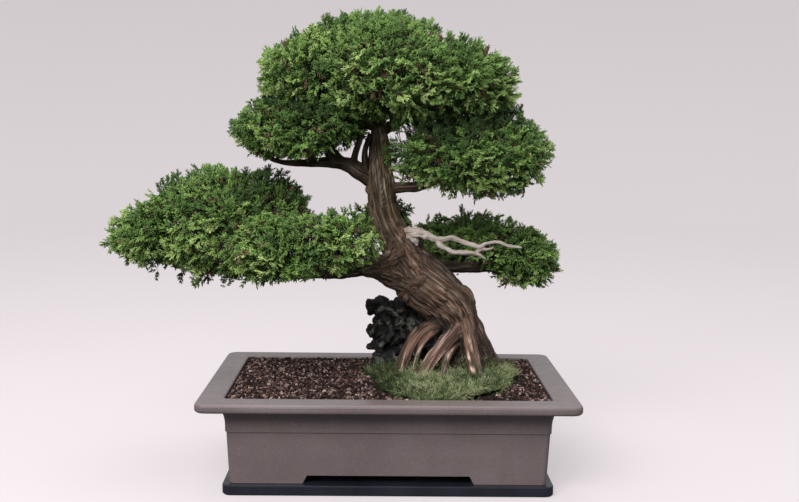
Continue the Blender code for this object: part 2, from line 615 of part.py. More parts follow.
# ---------------------------------------------------------------- assembly
def main():
    clear_scene()
    make_slab()
    make_pot()
    for side, x in drain_positions().items():
        make_screen(side, x)
    make_drainage_layer()
    soil = make_soil()
    moss = make_moss()
    rock = make_rock()
    rock_space = clearance_of_body(rock)

    joined_wood("trunk", TRUNK, ROOTS.values(), "bark", TRUNK_SIDES, LIMB_SIDES)
    trunk_space = clearance_of_wood("trunk", TRUNK, ROOTS.values(), TRUNK_SIDES, LIMB_SIDES)
    branches = [joined_wood(name, stations, SHOOTS.get(name, []), "bark", LIMB_SIDES, LIMB_SIDES)
                for name, stations in BRANCHES.items()]
    branches.append(joined_wood("jin_deadwood", JIN, JIN_FORKS, "deadwood", LIMB_SIDES, LIMB_SIDES))
    pads = {name: make_foliage(name, lobes) for name, lobes in FOLIAGE.items()}
    pad_space = {name: clearance_of_body(pads[name]) for name in MEETINGS}

    for piece in (soil, moss, rock, *branches, *pads.values()):
        boolean(piece, trunk_space)
    boolean(soil, rock_space).use_self = True
    boolean(moss, rock_space).use_self = True
    for keeper, others in MEETINGS.items():
        for name in others:
            boolean(pads[name], pad_space[keeper]).use_self = True
    for pad, crossing in CROSSINGS.items():
        for name in crossing:
            space = clearance_of_wood(f"{name}_in_{pad}", BRANCHES[name], SHOOTS.get(name, []),
                                      LIMB_SIDES, LIMB_SIDES)
            boolean(pads[pad], space)



main()
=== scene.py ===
"""Looks of the cypress bonsai: bark, deadwood, leaf sprays, moss, rock, soil and glazes.

Metres in the part's frame, +Z up, -Y towards the viewer. The tree's stations are those of the
solids, in millimetres from the pot's centre line, with heights above the rim of the pot.
"""

import math

import bpy
import numpy as np
from mathutils import Matrix, Vector
from mathutils.bvhtree import BVHTree
from mathutils.kdtree import KDTree


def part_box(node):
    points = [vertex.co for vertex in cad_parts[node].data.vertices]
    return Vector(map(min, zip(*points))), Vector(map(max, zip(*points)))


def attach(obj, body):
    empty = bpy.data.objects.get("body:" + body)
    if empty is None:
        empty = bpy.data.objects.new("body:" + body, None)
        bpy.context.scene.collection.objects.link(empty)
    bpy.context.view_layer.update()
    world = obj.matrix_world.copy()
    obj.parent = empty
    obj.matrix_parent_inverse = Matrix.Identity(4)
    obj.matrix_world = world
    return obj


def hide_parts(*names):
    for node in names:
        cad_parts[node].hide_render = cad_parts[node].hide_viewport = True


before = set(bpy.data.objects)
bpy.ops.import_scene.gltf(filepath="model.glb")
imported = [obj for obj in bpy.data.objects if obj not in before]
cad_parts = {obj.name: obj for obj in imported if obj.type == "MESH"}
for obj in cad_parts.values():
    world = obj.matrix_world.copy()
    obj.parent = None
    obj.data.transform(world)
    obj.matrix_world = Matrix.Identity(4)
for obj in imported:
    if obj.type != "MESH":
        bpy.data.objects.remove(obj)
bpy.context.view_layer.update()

MM = 0.001
RIM_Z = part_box("pot")[1].z
X_AXIS, Y_AXIS, UP = np.eye(3)

# ---- stations of the tree
TRUNK = [
    (104, 8, -10, 42), (105, 6, 4, 43), (105, 4, 26, 38), (101, 2, 46, 33), (98, 2, 66, 31),
    (94, 2, 86, 31), (80, 2, 107, 34), (57, 2, 127, 37), (35, 2, 149, 35), (21, 1, 173, 30),
    (11, 0, 194, 25), (0, -2, 215, 21), (-8, -3, 236, 19.5), (-12, -3, 256, 19),
    (-14, -2, 276, 19.5), (-16, 0, 298, 17), (-17, 2, 322, 14), (-18, 3, 350, 10.5),
    (-19, 3, 378, 7.5), (-18, 2, 408, 5.5), (-14, 2, 440, 3.5),
]
ROOTS = [
    [(86, -2, 84, 12), (66, -16, 79, 9.5), (47, -26, 71, 8), (36, -32, 58, 7.5),
     (28, -34, 42, 7), (22, -36, 24, 7), (17, -40, 4, 6.5), (14, -42, -8, 5)],
    [(78, -10, 75, 7), (62, -24, 68, 5.5), (50, -34, 58, 4.5), (42, -38, 45, 4),
     (36, -42, 24, 4), (32, -46, 2, 4), (30, -48, -8, 3.5)],
    [(40, -16, 70, 6), (28, -20, 54, 5), (20, -22, 38, 4.5), (12, -26, 18, 4), (6, -30, -6, 3.5)],
    [(98, -16, 76, 14), (86, -30, 64, 12), (73, -38, 50, 11), (60, -44, 35, 10.5),
     (49, -50, 19, 10.5), (41, -54, 2, 9), (37, -57, -10, 6.5)],
    [(92, -28, 52, 9), (81, -42, 40, 6.5), (76, -50, 24, 5.5), (72, -54, 6, 5), (70, -58, -8, 4)],
    [(104, -14, 88, 13), (110, -26, 62, 12.5), (115, -36, 38, 11.5), (120, -44, 18, 10.5),
     (126, -52, -4, 9), (129, -57, -12, 7)],
    [(110, 0, 90, 14), (121, 0, 66, 14), (133, 2, 42, 14), (144, 4, 22, 13), (155, 6, 2, 11),
     (161, 7, -10, 8)],
    [(102, 12, 78, 14), (112, 30, 50, 13), (124, 48, 22, 11), (134, 62, -4, 9), (138, 67, -12, 7)],
    [(92, 12, 72, 13), (84, 34, 44, 11), (80, 52, 20, 10), (76, 66, -4, 8), (75, 71, -12, 6.5)],
]
# Swellings of the trunk: the knobbly shoulder, the overhang and the cut scars.
KNOBS = [
    [(84, -2, 112, 18), (96, -3, 119, 16), (105, -4, 117, 14), (110, -4, 106, 12)],
    [(94, -5, 120, 11), (99, -7, 127, 7), (101, -8, 130, 4)],
    [(34, -10, 140, 22), (25, -7, 124, 16)],
    [(42, -6, 140, 29), (22, -8, 143, 23), (2, -10, 149, 18), (-18, -12, 154, 13.5), (-36, -14, 157, 10.5)],
    [(14, -10, 176, 20), (2, -14, 168, 15), (-10, -14, 162, 12)],
    [(-26, -6, 262, 7), (-31, -8, 266, 5)],
    [(112, -6, 100, 11), (116, -8, 80, 10)],
]
BRANCHES = {
    "branch_upper_left": [
        [(-14, 0, 275, 14), (-30, -1, 283, 13), (-44, -3, 291, 12), (-58, -4, 299, 10.5),
         (-76, -6, 303, 8.5), (-96, -8, 303, 7), (-124, -9, 302, 5), (-148, -10, 303, 3.8),
         (-166, -11, 308, 2.8), (-176, -12, 320, 2.2)],
        [(-64, -5, 302, 6), (-78, -12, 316, 5), (-92, -18, 334, 4), (-104, -22, 352, 2.6)],
        [(-52, -4, 297, 6), (-50, -10, 314, 5), (-44, -14, 332, 4), (-38, -16, 350, 2.6)],
        [(-28, -1, 284, 7), (-34, -8, 298, 5.5), (-36, -14, 318, 4.4), (-30, -20, 342, 3)],
        [(-78, -6, 303, 5.5), (-86, -14, 314, 4.6), (-84, -22, 330, 3.4), (-76, -28, 346, 2.4)],
        [(-100, -8, 303, 4.5), (-116, -14, 314, 3.6), (-130, -20, 330, 2.6)]],
    "branch_upper_right": [
        [(-10, -2, 268, 8), (6, -6, 269, 8), (24, -10, 270, 7), (42, -13, 272, 6.5),
         (66, -14, 282, 6), (100, -12, 298, 5), (138, -10, 312, 4), (170, -10, 322, 2.8)],
        [(54, -14, 276, 5), (66, -34, 286, 4.4), (84, -54, 298, 3.6), (104, -68, 310, 2.6)],
        [(60, -14, 279, 5), (76, 8, 288, 4.4), (94, 30, 300, 3.6), (112, 48, 312, 2.6)]],
    "branch_lower_left": [
        [(34, 4, 158, 17), (8, -6, 160, 16.5), (-16, -12, 159, 14), (-40, -17, 156, 11),
         (-72, -18, 151, 9), (-104, -14, 150, 8.5), (-142, -4, 148, 8), (-184, 8, 147, 7),
         (-236, 15, 148, 5.5), (-280, 18, 152, 4.2), (-330, 20, 164, 2.8)],
        [(-60, -18, 152, 7), (-74, -38, 158, 5.5), (-90, -62, 168, 4.5), (-110, -84, 178, 3)],
        [(-150, -2, 148, 6), (-172, -22, 156, 5), (-196, -40, 168, 4), (-222, -54, 182, 2.8)],
        [(-196, 10, 147, 5.5), (-206, 34, 156, 4.6), (-216, 58, 172, 3.6), (-224, 76, 190, 2.6)]],
    "branch_lower_right": [
        [(40, 8, 162, 13), (56, 26, 158, 11), (74, 44, 153, 9.5), (94, 58, 150, 8.5),
         (118, 68, 149, 7.5), (146, 76, 148, 6.5), (180, 82, 150, 5), (214, 84, 154, 3.2)],
        [(104, 62, 150, 6), (108, 84, 158, 5), (108, 108, 170, 4), (106, 128, 180, 2.8)]],
    "branch_back": [
        [(-6, 0, 226, 11), (-8, 22, 224, 9), (-10, 46, 220, 7.5), (-12, 72, 218, 6),
         (-14, 100, 220, 4.5), (-16, 124, 226, 3)]],
    "crown_branch_left": [
        [(-18, 3, 350, 7), (-34, 0, 358, 7), (-56, -4, 370, 6), (-82, -6, 388, 5),
         (-108, -8, 410, 3.8), (-128, -8, 432, 2.6)]],
    "crown_branch_right": [
        [(-16, 3, 344, 7), (0, 0, 354, 7), (22, -2, 366, 6), (50, -4, 380, 5),
         (80, -4, 394, 3.8), (108, -4, 412, 2.6)]],
    "crown_branch_front": [
        [(-18, 0, 366, 6), (-16, -16, 376, 5.5), (-12, -40, 390, 4.5), (-8, -66, 410, 3.4),
         (-6, -86, 430, 2.4)]],
    "crown_branch_back": [
        [(-18, 4, 372, 6), (-20, 20, 382, 5.5), (-22, 44, 396, 4.5), (-22, 68, 414, 3.4),
         (-20, 88, 432, 2.4)]],
}
# Painted shade: the share of its bark's colour that each branch keeps, 0.6 for the others.
BRANCH_SHADE = {"branch_lower_left": 0.75, "branch_upper_left": 0.42, "branch_lower_right": 0.45}
JIN = [
    [(16, 0, 206, 9), (29, -14, 206, 9), (41, -22, 207, 7), (55, -26, 203, 5),
     (68, -28, 199, 4.2), (86, -30, 202, 3.6), (102, -32, 197, 3.4), (122, -34, 190, 3.3),
     (132, -35, 195, 2.8), (148, -36, 197, 2.5), (163, -38, 192, 2.2), (180, -40, 190, 1.6)],
    [(64, -28, 200, 4), (72, -29, 190, 4), (89, -31, 182, 3.6), (108, -33, 182, 3.2),
     (120, -34, 180, 2.8), (131, -35, 174, 1.8)],
    [(116, -34, 181, 2.4), (125, -34, 186, 2.6), (134, -35, 187, 2.2), (142, -35, 189, 1.4)],
    [(32, -17, 203, 7), (35, -20, 197, 5), (37, -21, 191, 2.6)],
]
# Lumps of the rock: x, y and height, and radii along the three axes.
ROCK = [(-14, 44, 92, 16, 17, 11.5), (12, 46, 88, 20, 22, 14), (10, 48, 62, 29, 28, 30),
        (-20, 42, 58, 11, 13, 7.5), (-15, 42, 37, 11, 14, 7.5), (34, 50, 62, 30, 26, 26),
        (9, 46, 14, 32, 34, 20), (40, 50, 26, 34, 30, 26)]
# Each pad of foliage and the branches that feed it.
PADS = {
    "foliage_crown": ["crown_branch_left", "crown_branch_right", "crown_branch_front",
                      "crown_branch_back"],
    "foliage_upper_left": ["branch_upper_left"],
    "foliage_upper_right": ["branch_upper_right"],
    "foliage_lower_left_back": ["branch_lower_left"],
    "foliage_lower_left_front": ["branch_lower_left"],
    "foliage_lower_right": ["branch_lower_right"],
    "foliage_back": ["branch_back"],
}
# How near a neighbour has to be for a pad to reach out to it, and the share of the gap it fills.
NEIGHBOURS = {
    "foliage_crown": [("foliage_upper_left", 0.048, 0.36), ("foliage_upper_right", 0.04, 0.36)],
    "foliage_upper_left": [("foliage_crown", 0.048, 0.36)],
    "foliage_upper_right": [("foliage_crown", 0.034, 0.36), ("trunk", 0.036, 0.72)],
    "foliage_lower_left_back": [("foliage_lower_left_front", 0.03, 0.36)],
    "foliage_lower_left_front": [("foliage_lower_left_back", 0.03, 0.36), ("trunk", 0.034, 0.72)],
}
# Pads painted darker or lighter than the rest, as painted shade and painted light.
PAD_PAINTED_LIGHT = {"foliage_upper_left": 0.8, "foliage_upper_right": 0.84, "foliage_back": 0.8,
            "foliage_lower_right": 0.92,
            "foliage_lower_left_front": 1.08, "foliage_lower_left_back": 1.05}
# How far the end of a pad by the trunk moves along X, to stand just in front of its bark.
END_SHIFT = {"foliage_lower_left_front": 0.0075, "foliage_upper_right": -0.01}
# How much a pad's underside rises to show the branch below it.
UNDERSIDE_RISE = {"foliage_lower_left_back": 0.013, "foliage_lower_left_front": 0.005}
# How far below another pad the leaves are still painted darker, as its shadow.
COVER_REACH = 0.078
# Tries are random places before thinning. Depth is how far under the surface a stem starts.
FROND_TRIES, FROND_SPACING, FROND_LENGTH, FROND_DEPTH = 16000, 0.0135, 0.0235, 0.0195
SPRAY_LENGTH = 0.0125
LEAFLET_WIDTH = 0.00135
# The coarser sprays of a pad's core, and the depths between which its outer and inner ones lie.
CORE_TRIES, CORE_SPACING, CORE_LENGTH, CORE_WIDTH = 7000, 0.0115, 0.019, 0.003
CORE_DEPTHS = (0.017, 0.026, 0.06)
# The sprays of a frond: place along its stem, angle from it in degrees, and size.
FROND = [(0.04, 62, 0.8), (0.04, -62, 0.8), (0.17, 54, 0.92), (0.21, -54, 0.92), (0.33, 45, 0.9),
         (0.37, -45, 0.9), (0.48, 36, 0.8), (0.52, -36, 0.8), (0.62, 24, 0.68), (0.65, -24, 0.68),
         (0.47, 0, 1.0)]
# A twig's bow as a share of its length, and its radii at the branch, at a fork and at its end.
TWIG_SAG, TWIG_RADII = 0.12, (0.0017, 0.0009, 0.0004)
# The distance between forks, and where one lies on the way from the branch to the leaves.
FORK_SPACING, FORK_PLACE = 0.04, 0.62
# The most faces of one piece of foliage.
PIECE_FACES = 190000
# The step in tint between a small body's corners, which keeps its faces from having no UV area.
TINT_STEP = 0.004
# A leaflet's or straw's faces over its five points, and the tint steps of those.
SPINDLE_FACES = [(0, 2, 1), (0, 3, 2), (0, 1, 3), (1, 2, 4), (2, 3, 4), (3, 1, 4)]
SPINDLE_STEPS = np.array([0.0, -TINT_STEP, 0.0, TINT_STEP, 0.0])
# A blade of moss: two rings of three points and a tip.
BLADE_FACES = [(0, 2, 1), (0, 1, 4), (0, 4, 3), (1, 2, 5), (1, 5, 4), (2, 0, 3), (2, 3, 5),
               (3, 4, 6), (4, 5, 6), (5, 3, 6)]
# Blades of moss: their spacing, and tries and the most of them on the cushion, round it and on roots.
BLADE_SPACING, FUR_TRIES, FUR_COUNT = 0.00105, 66000, 17000
STRAY_TRIES, STRAY_COUNT, CLIMB_COUNT = 60000, 5200, 4600
# How far inside its solid's rim the cushion of moss ends.
MOSS_RIM = 0.0032
# The soil's grains with their smallest and largest size, and the straws on it.
GRAIN_TRIES, GRAIN_SIZES = 42000, (0.0013, 0.0028)
STRAW_TRIES, STRAW_COUNT = 900, 260
# Where the trunk stands, the mound's middle and how far from that the soil is level with the lip.
TRUNK_FOOT, MOUND, MOUND_REACH = (0.104, 0.0), (0.085, 0.0), 0.19
TRUNK_VOXEL, BRANCH_VOXEL, JIN_VOXEL, ROCK_VOXEL, MOSS_VOXEL = 0.00134, 0.00125, 0.0008, 0.0016, 0.0022
BLACK, WHITE = (0, 0, 0), (1, 1, 1)
# Finishes coloured by one noise: roughness, specular level, the noise's scale and detail, its
# colours, and the bump's scale, detail, height and strength.
PLAIN = {
    "slab_lacquer": (0.24, 0.5, (14, 4), [(0.3, (0.01, 0.011, 0.017)), (0.7, (0.019, 0.02, 0.03))],
                     (260, 4, 0.00012, 0.35)),
    "screen_plastic": (0.5, 0.5, (120, 2), [(0.3, (0.02, 0.021, 0.02)), (0.7, (0.036, 0.036, 0.034))],
                       (900, 2, 0.0001, 0.3)),
    "earth": (0.95, 0.2, (240, 6), [(0.3, (0.008, 0.005, 0.0045)), (0.55, (0.02, 0.012, 0.01)),
                                    (0.75, (0.045, 0.027, 0.022))], (420, 5, 0.0018, 0.9)),
    "moss_base": (0.95, 0.2, (160, 5), [(0.3, (0.018, 0.026, 0.009)), (0.55, (0.05, 0.072, 0.022)),
                                        (0.75, (0.095, 0.13, 0.04))], (600, 4, 0.0012, 0.9)),
    "twig_bark": (0.85, 0.25, (300, 4), [(0.3, (0.04, 0.027, 0.02)), (0.7, (0.105, 0.072, 0.052))],
                  (900, 3, 0.0003, 0.6)),
}
# The photo's viewpoint: place, the angles of turn, tip and roll in degrees, and lens in millimetres.
CAMERA_PLACE, CAMERA_ANGLES, CAMERA_LENS = (-0.0114, -1.6029, 0.4795), (0.89, 6.07, 0.65), 51.6
# Soft boxes: place, size, power in watts and colour. All aim at the pot.
SOFTBOXES = [
    ("key_softbox", (-0.95, -2.05, 1.8), (1.9, 1.5), 86, (1.0, 0.99, 0.975)),
    ("overhead_softbox", (-0.2, 0.2, 2.6), (2.0, 1.6), 20, (1.0, 0.99, 0.98)),
    ("side_softbox", (2.4, -0.6, 1.6), (1.2, 1.2), 6, (1.0, 0.99, 0.98)),
]


# ---- noise and vectors
def unit(vectors):
    return vectors / np.maximum(np.linalg.norm(vectors, axis=-1, keepdims=True), 1e-12)


def ease(x):
    x = np.clip(x, 0.0, 1.0)
    return x * x * (3 - 2 * x)


def blend(a, b, share):
    share = np.asarray(share)[..., None]
    return np.asarray(a) * (1 - share) + np.asarray(b) * share


def noise(points, seed=0):
    """Smooth gradient noise, mostly within -0.7 to 0.7, at each row of points."""
    cell = np.floor(points).astype(np.int64)
    part = points - cell
    fade = part ** 3 * (part * (part * 6 - 15) + 10)
    total = np.zeros(len(points))
    for corner in range(8):
        offset = np.array([(corner >> 2) & 1, (corner >> 1) & 1, corner & 1])
        at = cell + offset
        code = (at[:, 0] * 73856093) ^ (at[:, 1] * 19349663) ^ (at[:, 2] * 83492791) ^ (seed * 7919)
        code = ((code ^ (code >> 13)) * 1274126177) & 0x7FFFFFFF
        code = code ^ (code >> 15)
        slope = np.stack([code & 1023, (code >> 10) & 1023, (code >> 20) & 1023], axis=1) / 511.5 - 1
        weight = np.prod(np.where(offset, fade, 1 - fade), axis=1)
        total += weight * np.einsum("ij,ij->i", slope, part - offset)
    return total * 1.25


def layered_noise(points, octaves, seed=0):
    return sum(noise(points * 2 ** k, seed + k) / 2 ** k for k in range(octaves))


def noise_vectors(points, seed):
    return np.stack([noise(points, seed + k) for k in range(3)], axis=1)


# ---- meshes
def joined(parts):
    """Several (vertices, faces) as one, with faces of equal numbers of corners."""
    verts, faces, start = [], [], 0
    for part_verts, part_faces in parts:
        verts.append(part_verts)
        faces.append(part_faces + start)
        start += len(part_verts)
    return np.vstack(verts), np.vstack(faces)


def repeated(faces, size, count):
    """The faces of a body of so many points, for a row of such bodies."""
    faces = np.asarray(faces)
    return (faces[None] + size * np.arange(count)[:, None, None]).reshape(-1, faces.shape[1])


def ring(centre, across, other, radius, sides):
    """Points in a circle round a centre, or rows of them round many centres."""
    return [centre + radius * (math.cos(a) * across + math.sin(a) * other)
            for a in np.linspace(0, 2 * math.pi, sides, endpoint=False)]


def ring_faces(rings, sides, caps=True, turned=False):
    """Quads over a stack of rings of points and its two ends; turned winds them the other way."""
    near, low = np.arange(sides), sides * np.arange(rings - 1)[:, None]
    far = (near + 1) % sides
    faces = np.stack([low + near, low + far, low + sides + far, low + sides + near], axis=2).reshape(-1, 4)
    if caps:
        k = np.arange(1, sides // 2)
        end = np.stack([k - 1, k, sides - k - 1, (sides - k) % sides], axis=1)
        faces = np.vstack([faces, end[:, [0, 3, 2, 1]], end + (rings - 1) * sides])
    return faces[:, [0, 3, 2, 1]] if turned else faces


def mesh_object(name, verts, faces, look=None, smooth=True, uv=None, colours=None, vectors=None):
    mesh = bpy.data.meshes.new(name)
    mesh.vertices.add(len(verts))
    mesh.vertices.foreach_set("co", np.asarray(verts, np.float32).ravel())
    corners = np.asarray(faces, np.int32)
    mesh.loops.add(corners.size)
    mesh.loops.foreach_set("vertex_index", corners.ravel())
    mesh.polygons.add(len(corners))
    mesh.polygons.foreach_set("loop_start", np.arange(0, corners.size, corners.shape[1], dtype=np.int32))
    mesh.update(calc_edges=True)
    mesh.polygons.foreach_set("use_smooth", np.full(len(corners), smooth))
    if uv is not None:
        layer = mesh.uv_layers.new(name="OFBake")
        layer.data.foreach_set("uv", np.asarray(uv, np.float32)[corners.ravel()].ravel())
    if colours is not None:
        layer = mesh.color_attributes.new("tone", "FLOAT_COLOR", "POINT")
        rgba = np.hstack([colours, np.ones((len(colours), 1))])
        layer.data.foreach_set("color", np.asarray(rgba, np.float32).ravel())
    if vectors is not None:
        layer = mesh.attributes.new("grain", "FLOAT_VECTOR", "POINT")
        layer.data.foreach_set("vector", np.asarray(vectors, np.float32).ravel())
    obj = bpy.data.objects.new(name, mesh)
    bpy.context.scene.collection.objects.link(obj)
    if look:
        mesh.materials.append(look)
    return obj


def read(items, key, width, kind=np.float32):
    """A property of all of a mesh's items, one row for each."""
    values = np.zeros(len(items) * width, kind)
    items.foreach_get(key, values)
    return values.reshape(-1, width).astype(float if kind is np.float32 else int)


def remeshed(obj, voxel, rounds):
    """Vertices, vertex normals and quads of an object's voxel skin, smoothed; the object goes."""
    skin = obj.modifiers.new("skin", "REMESH")
    skin.mode = "VOXEL"
    skin.voxel_size = voxel
    calm = obj.modifiers.new("calm", "SMOOTH")
    calm.factor = 0.5
    calm.iterations = rounds
    view = bpy.context.evaluated_depsgraph_get()
    done = bpy.data.meshes.new_from_object(obj.evaluated_get(view))
    result = (read(done.vertices, "co", 3), read(done.vertex_normals, "vector", 3),
              read(done.loops, "vertex_index", 1, np.int32).reshape(-1, 4))
    bpy.data.objects.remove(obj, do_unlink=True)
    bpy.data.meshes.remove(done)
    return result


def settle(obj, slot, *nodes):
    """Rides a finished piece on the body and hides the solids it stands for."""
    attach(obj, "root")
    if nodes:
        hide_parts(*nodes)


# ---- wood
class Limb:
    """A smooth line of wood with its radius, its length along and a frame carried along it."""

    def __init__(self, stations, spacing=0.003):
        knots = np.array(stations, float) * MM
        knots[:, 2] += RIM_Z
        ends = np.vstack([2 * knots[0] - knots[1], knots, 2 * knots[-1] - knots[-2]])
        path = []
        for a, b, c, d in zip(ends, ends[1:], ends[2:], ends[3:]):
            count = max(2, int(np.linalg.norm((c - b)[:3]) / spacing))
            t = np.linspace(0, 1, count, endpoint=False)[:, None]
            path.append(0.5 * (2 * b + (c - a) * t + (2 * a - 5 * b + 4 * c - d) * t ** 2
                               + (3 * b - a - 3 * c + d) * t ** 3))
        path = np.vstack([*path, knots[-1:]])
        self.points, self.radii = path[:, :3], path[:, 3]
        steps = np.linalg.norm(np.diff(self.points, axis=0), axis=1)
        self.along = np.concatenate([[0.0], np.cumsum(steps)])
        self.tangents = unit(np.gradient(self.points, axis=0))
        self.sides = np.zeros_like(self.points)
        side = np.array([0.0, -1.0, 0.2])
        for i, tangent in enumerate(self.tangents):
            side = unit(side - tangent * side.dot(tangent))
            self.sides[i] = side
        self.others = np.cross(self.tangents, self.sides)

    def tube(self, sides=20):
        """A closed tube of quads with rounded ends."""
        rings = [(point, radius, i) for i, (point, radius) in enumerate(zip(self.points, self.radii))]
        for lift in (0.38, 0.7, 0.95):
            for i, way, place in ((0, -1, 0), (len(self.points) - 1, 1, len(rings) + 1)):
                rings.insert(place, (self.points[i] + way * self.tangents[i] * self.radii[i] * lift,
                                     self.radii[i] * math.sqrt(1 - lift * lift), i))
        verts = [ring(centre, self.sides[i], self.others[i], radius, sides) for centre, radius, i in rings]
        return np.vstack(verts), ring_faces(len(rings), sides)

    def place(self, points):
        """For points near this limb: gap to its surface, offsets across, distance along, radius."""
        gap = np.zeros(len(points))
        nearest = np.zeros(len(points), int)
        for start in range(0, len(points), 20000):
            part = points[start:start + 20000]
            reach = np.linalg.norm(part[:, None] - self.points[None], axis=2) - self.radii[None]
            pick = reach.argmin(axis=1)
            nearest[start:start + 20000] = pick
            gap[start:start + 20000] = reach[np.arange(len(part)), pick]
        away = points - self.points[nearest]
        ahead, u, v = (np.einsum("ij,ij->i", away, axes[nearest])
                       for axes in (self.tangents, self.sides, self.others))
        return gap, u, v, self.along[nearest] + ahead, self.radii[nearest]


def grain_of(u, v, along, twist):
    """Coordinates that run with the fibres: across, across, along, turned by the limb's twist."""
    cos, sin = np.cos(twist * along), np.sin(twist * along)
    return np.stack([u * cos - v * sin, u * sin + v * cos, along], axis=1)


def fibre(grain, across, along, seed):
    """Noise with one size across the fibres and another along them."""
    return noise(grain / [across, across, along], seed)


def bark_relief(grain, girth, seed):
    """Relief of fibrous bark in metres, how deep in a crack each point lies, and its flutes."""
    bent = grain + fibre(grain, 0.026, 0.06, seed + 40)[:, None] * [0.0024, -0.0024, 0.0]
    flute = fibre(bent, 0.019, 0.2, seed + 1)
    crack = 1 - ease(np.abs(fibre(bent, 0.005, 0.085, seed + 2)) / 0.15)
    groove = 1 - ease(np.abs(fibre(bent, 0.003, 0.05, seed + 3)) / 0.13)
    flake = fibre(bent, 0.004, 0.022, seed + 4)
    thick = np.clip(girth / 0.018, 0.3, 1.0)
    relief = flute * np.minimum(girth * 0.15, 0.0046)
    relief += fibre(bent, 0.04, 0.017, seed + 6) * np.minimum(girth * 0.2, 0.0024)
    relief += thick * (0.001 - 0.0019 * crack - 0.0011 * groove + 0.0017 * flake)
    return relief, np.clip(crack + 0.5 * groove, 0, 1), flute


def deadwood_relief(grain, girth, seed):
    """Shallow grain of bare weathered wood, its cracks and its waves."""
    wave = fibre(grain, 0.006, 0.03, seed + 1)
    crack = 1 - ease(np.abs(fibre(grain, 0.0022, 0.04, seed + 2)) / 0.14)
    knob = fibre(grain, 0.007, 0.008, seed + 3)
    return (wave * 0.45 + knob * 0.5) * girth - 0.0005 * crack, crack, wave


def skin_wood(limbs, voxel, rounds, twist, seed, relief_of=bark_relief):
    """Joins limbs into one skin: vertices, faces, the grain over it, its cracks and its waves."""
    rough = mesh_object("rough", *joined([limb.tube() for limb in limbs]))
    verts, normals, faces = remeshed(rough, voxel, rounds)
    sums, weights = np.zeros((len(verts), 3)), np.full(len(verts), 1e-9)
    best = np.full(len(verts), np.inf)
    grain = np.zeros((len(verts), 3))
    for number, limb in enumerate(limbs):
        gap, u, v, along, girth = limb.place(verts)
        near = gap < 0.012
        own = grain_of(u, v, along, twist) + [0.37 * number, 0.0, 0.13 * number]
        weight = np.exp(-np.maximum(gap[near], 0) / 0.0022)
        sums[near] += weight[:, None] * np.stack(relief_of(own[near], girth[near], seed), axis=1)
        weights[near] += weight
        closer = gap < best
        best[closer], grain[closer] = gap[closer], own[closer]
    relief, crack, wave = (sums / weights[:, None]).T
    return verts + normals * relief[:, None], faces, grain, crack, wave


# ---- materials
class Nodes:
    """A node tree being put together round one shader."""

    def __init__(self, owner, shader):
        owner.use_nodes = True
        self.tree = owner.node_tree
        self.shader = self.tree.nodes[shader]

    def node(self, kind, settings=None, **values):
        made = self.tree.nodes.new("ShaderNode" + kind)
        for key, value in (settings or {}).items():
            setattr(made, key, value)
        for key, value in values.items():
            self.put(made.inputs[key.replace("_", " ")], value)
        return made

    def put(self, socket, value):
        if isinstance(value, bpy.types.NodeSocket):
            self.tree.links.new(value, socket)
        else:
            socket.default_value = value

    def set(self, name, value):
        self.put(self.shader.inputs[name], value)

    def place(self, kind="Object"):
        return self.node("TexCoord").outputs[kind]

    def axis(self, vector, letter):
        return self.node("SeparateXYZ", Vector=vector).outputs[letter]

    def ramp(self, factor, stops):
        made = self.node("ValToRGB", Fac=factor)
        points = made.color_ramp.elements
        while len(points) < len(stops):
            points.new(0.5)
        for point, (position, colour) in zip(points, stops):
            point.position = position
            point.color = (*colour, 1.0)
        return made.outputs["Color"]

    def grey(self, factor, low, high, dark=0.0, bright=1.0):
        """Maps low..high of a factor to dark..bright."""
        made = self.node("MapRange", Value=factor, From_Min=low, From_Max=high, To_Min=dark,
                         To_Max=bright)
        return made.outputs["Result"]


class Look(Nodes):
    """A material round a Principled shader."""

    def __init__(self, name, roughness=0.6, specular=0.5):
        self.material = bpy.data.materials.new(name)
        super().__init__(self.material, "Principled BSDF")
        self.set("Roughness", roughness)
        self.set("Specular IOR Level", specular)

    def rough(self, factor, low, high):
        self.set("Roughness", self.grey(factor, 0.3, 0.7, low, high))

    def attribute(self, name, kind):
        return self.node("Attribute", {"attribute_name": name}).outputs[kind]

    def noise(self, scale, detail=4, stretch=(1, 1, 1), vector=None, distortion=0.0):
        sized = self.node("VectorMath", {"operation": "MULTIPLY"})
        self.put(sized.inputs[0], vector or self.place())
        sized.inputs[1].default_value = stretch
        made = self.node("TexNoise", Vector=sized.outputs[0], Scale=scale, Detail=detail,
                         Distortion=distortion)
        return made.outputs["Fac"]

    def fibres(self, detail, across, along, distortion=0.0):
        """Noise drawn out along the wood's grain."""
        return self.noise(1.0, detail, (across, across, along), self.attribute("grain", "Vector"), distortion)

    def mix(self, share, a, b, kind="MIX"):
        made = self.node("Mix", {"data_type": "RGBA", "blend_type": kind})
        self.put(made.inputs[0], share)
        for socket, value in ((made.inputs[6], a), (made.inputs[7], b)):
            self.put(socket, (*value, 1.0) if isinstance(value, tuple) else value)
        return made.outputs[2]

    def shaded(self, colour, factor, dark, bright, low=0.3, high=0.7):
        """A colour times a factor that is mapped to dark..bright."""
        return self.mix(1.0, colour, self.grey(factor, low, high, dark, bright), "MULTIPLY")

    def bump(self, height, distance, strength=1.0):
        made = self.node("Bump", Height=height, Distance=distance, Strength=strength)
        last = self.shader.inputs["Normal"]
        if last.is_linked:
            self.tree.links.new(last.links[0].from_socket, made.inputs["Normal"])
        self.tree.links.new(made.outputs["Normal"], last)

    def tint(self):
        """The two numbers of a leaf, blade or grain: its own tint, and base to tip."""
        place = self.node("UVMap", {"uv_map": "OFBake"}).outputs["UV"]
        return self.axis(place, "X"), self.axis(place, "Y")


